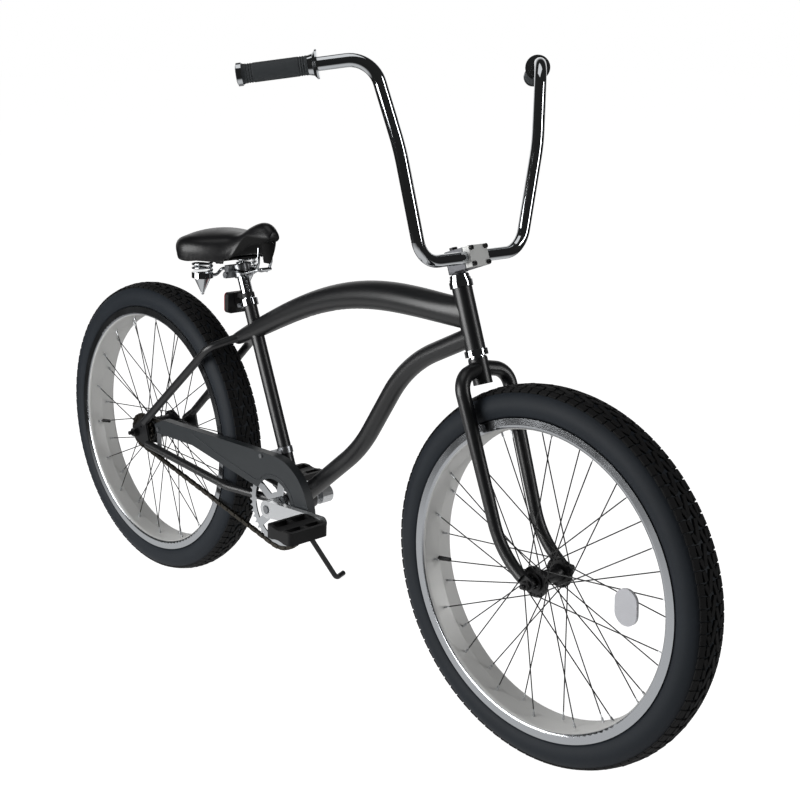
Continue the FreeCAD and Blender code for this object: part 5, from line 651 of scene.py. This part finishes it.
def shapeSaddle(piece):
    # the nose is pressed up from below, and the rear is filled out to a flatter, rounder cushion
    toBike = rearWheelPlace.inverted()
    for vertex in piece.data.vertices:
        point = toBike @ vertex.co / mm
        above = max(point.z - saddle["bottom"], 0)
        full = saddle["rearTop"] - saddle["bottom"]
        fuller = saddle["rearFlat"] * full * (above / full) ** saddle["rearFullness"]
        rear = easeBetween(point.x, saddle["rearFrom"], saddle["rearTo"])
        hang = saddle["skirtDrop"] * max(1 - above / saddle["skirt"], 0)
        above += (fuller - above - hang) * rear
        left = min(max(1 - above / (saddle["noseTop"] - saddle["bottom"]), 0), 1)
        lift = saddleUnderside(point.x) - saddle["bottom"]
        point.z = saddle["bottom"] + above + lift * left ** saddle["liftFall"]
        vertex.co = rearWheelPlace @ (point * mm)


def evenOut(piece, passes):
    # takes out creases and keeps the volume
    even = piece.modifiers.new("even", "LAPLACIANSMOOTH")
    even.iterations = passes
    even.lambda_factor = 1.0
    applyModifiers(piece)


def inflate(piece):
    # cloth under light pressure, held at its lower edge and moved no further than the cap
    before = [vertex.co.copy() for vertex in piece.data.vertices]
    toBike = rearWheelPlace.inverted()
    points = [toBike @ start / mm for start in before]
    held = [i for i, point in enumerate(points) if point.z < saddleUnderside(point.x) + saddle["pinned"]]
    pins = piece.vertex_groups.new(name="pins")
    pins.add(held, 1.0, "REPLACE")
    cloth = piece.modifiers.new("cloth", "CLOTH")
    cloth.settings.use_pressure = True
    cloth.settings.uniform_pressure_force = saddle["pressure"]
    cloth.settings.vertex_group_mass = "pins"
    cloth.settings.effector_weights.gravity = 0
    scene = bpy.context.scene
    for step in range(1, saddle["frames"] + 1):
        scene.frame_set(step)
    applyModifiers(piece)
    scene.frame_set(1)
    for vertex, start in zip(piece.data.vertices, before):
        move = vertex.co - start
        if move.length > saddle["cap"] * mm:
            vertex.co = start + move.normalized() * saddle["cap"] * mm


def buildSaddle():
    piece = copyNode("saddleCushion", "saddle_cover")
    remesh = piece.modifiers.new("even", "REMESH")
    remesh.mode = "VOXEL"
    remesh.voxel_size = saddle["voxel"] * mm
    applyModifiers(piece)
    inset = piece.modifiers.new("smaller", "DISPLACE")
    inset.strength = -saddle["shrink"] * mm
    inset.mid_level = 0
    soften = piece.modifiers.new("soften", "SMOOTH")
    soften.factor = saddle["softness"]
    soften.iterations = saddle["smooth"]
    applyModifiers(piece)
    shapeSaddle(piece)
    evenOut(piece, saddle["even"])
    inflate(piece)
    evenOut(piece, saddle["even"])
    finer = piece.modifiers.new("finer", "SUBSURF")
    finer.levels = 1
    finer.render_levels = 1
    applyModifiers(piece)
    makeActive(piece)
    bpy.ops.object.shade_smooth()
    finishPiece(piece, saddleVinyl, "saddle", "saddle_vinyl", "saddle_cover")
    return piece


def buildPan():
    # the pan under the cover, which ends where the cover rises to the nose
    piece = copyNode("saddlePanShell", "saddle_pan")
    bpy.ops.object.mode_set(mode="EDIT")
    bpy.ops.mesh.select_all(action="SELECT")
    end = rearWheelPlace @ Vector((saddle["panEnd"] * mm, 0, 0))
    forward = rearWheelPlace.to_3x3() @ Vector((1, 0, 0))
    bpy.ops.mesh.bisect(plane_co=end, plane_no=forward, use_fill=True, clear_outer=True)
    bpy.ops.object.mode_set(mode="OBJECT")
    smoothByAngle(piece, 30)
    return finishPiece(piece, mouldedBlack, "saddle", "black_plastic", "saddle_pan")


def buildSprings():
    # the two coils, copied whole; on the bicycle they give as the saddle comes down
    piece = copyNode("saddleCoils", "saddle_springs")
    smoothByAngle(piece, 40)
    finishPiece(piece, chromePlate, "seat", "chrome", "saddle_springs")
    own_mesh(piece)
    return piece


buildSaddle()
buildPan()
buildSprings()
print("saddle")


# Saddle nose: a tapered vinyl flap that hangs under the tip and closes it in front
flap = {
    "ahead": 393, "rise": 464, "radius": 17, "height": 46, "sheet": 2.2, "sides": 40, "cuts": 5,
    "taper": 0.25, "taperPower": 1.5, "tuck": 9, "tuckPower": 2,
}


def buildNoseFlap():
    deselectAll()
    bpy.ops.mesh.primitive_cylinder_add(
        vertices=flap["sides"], radius=flap["radius"] * mm, depth=flap["height"] * mm,
        end_fill_type="NOTHING", location=(0, 0, 0))
    piece = bpy.context.active_object
    piece.name = "saddleNoseFlap"
    bpy.ops.object.mode_set(mode="EDIT")
    bpy.ops.mesh.select_all(action="SELECT")
    bpy.ops.mesh.bisect(plane_co=(0, 0, 0), plane_no=(1, 0, 0), clear_inner=True)
    bpy.ops.mesh.select_all(action="SELECT")
    bpy.ops.mesh.subdivide(number_cuts=flap["cuts"])
    bpy.ops.mesh.select_all(action="DESELECT")
    bpy.ops.object.mode_set(mode="OBJECT")
    for vertex in piece.data.vertices:
        share = max(0.5 - vertex.co.z / (flap["height"] * mm), 0)
        vertex.co.y *= 1 - (1 - flap["taper"]) * share ** flap["taperPower"]
        vertex.co.x -= flap["tuck"] * mm * share ** flap["tuckPower"]
    sheet = piece.modifiers.new("sheet", "SOLIDIFY")
    sheet.thickness = flap["sheet"] * mm
    finer = piece.modifiers.new("finer", "SUBSURF")
    finer.levels = 1
    finer.render_levels = 1
    applyModifiers(piece)
    bpy.ops.object.shade_smooth()
    place(piece, rearWheelPlace @ Matrix.Translation((flap["ahead"] * mm, 0, flap["rise"] * mm)))
    return finishPiece(piece, saddleVinyl, "saddle", "saddle_vinyl")


riser = {"side": 16.5, "thickness": 6.4, "points": ((368, 420), (379, 431), (383, 442), (384, 474))}


def buildNoseWires():
    # the two wires that turn up from the rails and carry the nose
    pieces = []
    for half in (1, -1):
        path = [Vector((ahead, half * riser["side"], rise)) * mm for ahead, rise in riser["points"]]
        pieces.append(place(wireAlong("noseWire", path, riser["thickness"]), rearWheelPlace))
    return finishPiece(joinPieces("saddleNoseWires", pieces), chromePlate, "saddle", "chrome")


buildNoseFlap()
buildNoseWires()
print("saddle nose")


# Grips: moulded rubber sleeves with a closed end and ring grooves, one on each side
grip = {
    "ring": (772.5, 360.6, 832.1), "collar": (854.6, 275.1, 851.1), "ringSetback": 1.5,
    "capStart": -4, "end": 111.8, "radius": 15.5, "capRadius": 16.9, "bore": 11.3,
    "grooves": (14, 18, 22, 98, 102, 106), "grooveDepth": 0.7, "grooveHalf": 0.7, "steps": 56,
    "capEdge": ((2.4, 0), (0.6, 0.7), (0, 2.2)), "capBack": ((0, 5), (0.5, 6.4)), "sleeveStart": 9,
    "mouth": (0.5, 0.6),
}


def gripProfile():
    # radius and run, from the closed end to the mouth
    radius, cap = grip["radius"], grip["capRadius"]
    points = [(0, grip["capStart"])]
    points += [(cap - inset, grip["capStart"] + run) for inset, run in grip["capEdge"]]
    points += [(cap - inset, run) for inset, run in grip["capBack"]]
    points.append((radius, grip["sleeveStart"]))
    half, low = grip["grooveHalf"], radius - grip["grooveDepth"]
    for middle in grip["grooves"]:
        points += [(radius, middle - 2 * half), (low, middle - half), (low, middle + half),
                   (radius, middle + 2 * half)]
    inset, run = grip["mouth"]
    end = grip["end"]
    return points + [(radius, end - run), (radius - inset, end), (grip["bore"], end)]


def buildGrips():
    pieces = []
    for half in (1, -1):
        ring = Vector((grip["ring"][0], half * grip["ring"][1], grip["ring"][2]))
        collar = Vector((grip["collar"][0], half * grip["collar"][1], grip["collar"][2]))
        along = (collar - ring).normalized()
        points = [Vector((radius * mm, 0, run * mm)) for radius, run in gripProfile()]
        piece = spinLine("grip", points, (0, 0, 1), grip["steps"])
        turn = along.to_track_quat("Z", "Y").to_matrix().to_4x4()
        start = ring - along * grip["ringSetback"]
        place(piece, rearWheelPlace @ Matrix.Translation(start * mm) @ turn)
        pieces.append(piece)
    piece = joinPieces("rubberGrips", pieces)
    smoothByAngle(piece, 35)
    return finishPiece(piece, gripRubber, "handlebar", "rubber", "grips")


buildGrips()
print("grips")


# Chain guard: the pressed line that follows the crank hole and runs out to the top edge
bead = {
    "bracket": (496.5, -48.4), "face": -65, "radius": 70, "start": -2, "end": 122, "steps": 25,
    "thickness": 2.2,
    "tail": ((-44, 51), (-52, 46.5), (-66, 46.5), (-115, 55), (-188, 68), (-250, 83), (-288, 93)),
}


def buildGuardBead():
    points = []
    for step in range(bead["steps"] + 1):
        angle = math.radians(bead["start"] + (bead["end"] - bead["start"]) * step / bead["steps"])
        points.append((bead["radius"] * math.cos(angle), bead["radius"] * math.sin(angle)))
    points += bead["tail"]
    path = [Vector((bead["bracket"][0] + ahead, bead["face"], bead["bracket"][1] + rise)) * mm
            for ahead, rise in points]
    piece = wireAlong("guardPressedLine", path, bead["thickness"])
    place(piece, rearWheelPlace)
    return finishPiece(piece, guardPaint, "frame", "guard_paint")


buildGuardBead()
print("chain guard line")


# Floor, light and camera
sweep = {
    "size": 40, "drop": 0.4, "colour": "#c8c8c8", "rough": 0.9, "white": 0.92, "near": 1.0, "far": 1.8,
    "mirrored": 0.7,
}
room = {"darkSide": (0.72, -0.62, 0.31), "edge": (-0.85, -0.55), "dark": 0.02, "light": 0.14}


def buildFloorPaint():
    # the sweep is white, and metal sees it end in a dark room some way from the object
    material, tree, shader = newMaterial("paleFloor", sweep["colour"], sweep["rough"],
                                         Specular_IOR_Level=0.0)
    path = addNode(tree, "ShaderNodeLightPath")
    coordinates = addNode(tree, "ShaderNodeTexCoord")
    away = addNode(tree, "ShaderNodeVectorMath", {"operation": "LENGTH"}, i0=coordinates.outputs["Object"])
    span = {"From Min": sweep["near"], "From Max": sweep["far"],
            "To Min": sweep["mirrored"], "To Max": room["dark"]}
    fade = addNode(tree, "ShaderNodeMapRange", span, Value=away.outputs["Value"])
    metal = addNode(tree, "ShaderNodeMath", {"operation": "MULTIPLY"}, i0=path.outputs["Is Glossy Ray"],
                    i1=fade.outputs["Result"])
    direct = addNode(tree, "ShaderNodeMath", {"operation": "MAXIMUM"}, i0=path.outputs["Is Camera Ray"],
                     i1=metal.outputs["Value"])
    seen = addNode(tree, "ShaderNodeMath", {"operation": "MAXIMUM"}, i0=direct.outputs["Value"],
                   i1=path.outputs["Is Transmission Ray"])
    share = addNode(tree, "ShaderNodeMath", {"operation": "MULTIPLY", "#1": sweep["white"]},
                    i0=seen.outputs["Value"])
    glow = addNode(tree, "ShaderNodeEmission", {"Color": (1, 1, 1, 1)}, Strength=share.outputs["Value"])
    both = addNode(tree, "ShaderNodeAddShader", {}, i0=shader.outputs["BSDF"], i1=glow.outputs["Emission"])
    last = addNode(tree, "ShaderNodeMixShader", {}, i0=path.outputs["Is Glossy Ray"],
                   i1=both.outputs["Shader"], i2=glow.outputs["Emission"])
    tree.links.new(last.outputs["Shader"], tree.nodes["Material Output"].inputs["Surface"])
    return material


def buildStage():
    deselectAll()
    bpy.ops.mesh.primitive_plane_add(size=sweep["size"], location=(0, 0, -sweep["drop"] * mm))
    floor = bpy.context.active_object
    floor.name = "floor"
    floor.data.materials.append(buildFloorPaint())


def buildWorld():
    # white for the lens, a plain grey room for light, and for reflections dark but for one bright side
    world = bpy.data.worlds.new("studio")
    bpy.context.scene.world = world
    world.use_nodes = True
    tree = world.node_tree
    plain = tree.nodes["Background"]
    plain.inputs["Color"].default_value = (1, 1, 1, 1)
    plain.inputs["Strength"].default_value = room["light"]
    coordinates = addNode(tree, "ShaderNodeTexCoord")
    facing = addNode(tree, "ShaderNodeVectorMath", {"operation": "DOT_PRODUCT", "#1": room["darkSide"]},
                     i0=coordinates.outputs["Generated"])
    span = {"From Min": room["edge"][0], "From Max": room["edge"][1], "To Min": 1.0, "To Max": room["dark"]}
    shade = addNode(tree, "ShaderNodeMapRange", span, Value=facing.outputs["Value"])
    mirrored = addNode(tree, "ShaderNodeBackground", {"Color": (1, 1, 1, 1)},
                       Strength=shade.outputs["Result"])
    white = addNode(tree, "ShaderNodeBackground", {"Color": (1, 1, 1, 1), "Strength": 1.0})
    path = addNode(tree, "ShaderNodeLightPath")
    mix = addNode(tree, "ShaderNodeMixShader", {}, i0=path.outputs["Is Glossy Ray"],
                  i1=plain.outputs["Background"], i2=mirrored.outputs["Background"])
    clear = addNode(tree, "ShaderNodeMath", {"operation": "MAXIMUM"}, i0=path.outputs["Is Camera Ray"],
                    i1=path.outputs["Is Transmission Ray"])
    last = addNode(tree, "ShaderNodeMixShader", {}, i0=clear.outputs["Value"], i1=mix.outputs["Shader"],
                   i2=white.outputs["Background"])
    tree.links.new(last.outputs["Shader"], tree.nodes["World Output"].inputs["Surface"])


softboxes = {
    "keyBox": {"location": (-1.0, -3.1, 1.1), "target": (0.1, 0, 0.8), "size": (2.4, 2.0), "power": 92},
    "fillBox": {"location": (3.2, 1.4, 1.5), "target": (0, 0, 0.6), "size": (0.5, 2.0), "power": 26},
    "topBox": {"location": (0, -0.4, 3.8), "target": (0, 0, 0.6), "size": (2.4, 2.4), "power": 16},
}


def addSoftbox(name, box):
    lamp = bpy.data.lights.new(name, "AREA")
    lamp.shape = "RECTANGLE"
    lamp.size, lamp.size_y = box["size"]
    lamp.energy = box["power"]
    holder = bpy.data.objects.new(name, lamp)
    bpy.context.scene.collection.objects.link(holder)
    holder.location = box["location"]
    aim = Vector(box["target"]) - Vector(box["location"])
    holder.rotation_euler = aim.to_track_quat("-Z", "Y").to_euler()


camera = {"location": (1911.3, -1673.8, 1300.1), "tilt": 73.03, "turn": 45.95, "lens": 58.94, "sensor": 36}


def buildCamera():
    lens = bpy.data.cameras.new("photoCamera")
    lens.sensor_width = camera["sensor"]
    lens.lens = camera["lens"]
    holder = bpy.data.objects.new("photoCamera", lens)
    bpy.context.scene.collection.objects.link(holder)
    holder.location = [value * mm for value in camera["location"]]
    holder.rotation_euler = (math.radians(camera["tilt"]), 0, math.radians(camera["turn"]))
    bpy.context.scene.camera = holder


buildStage()
buildWorld()
for name, box in softboxes.items():
    addSoftbox(name, box)
buildCamera()
bpy.context.scene.view_settings.view_transform = "Standard"
print("stage, light and camera")
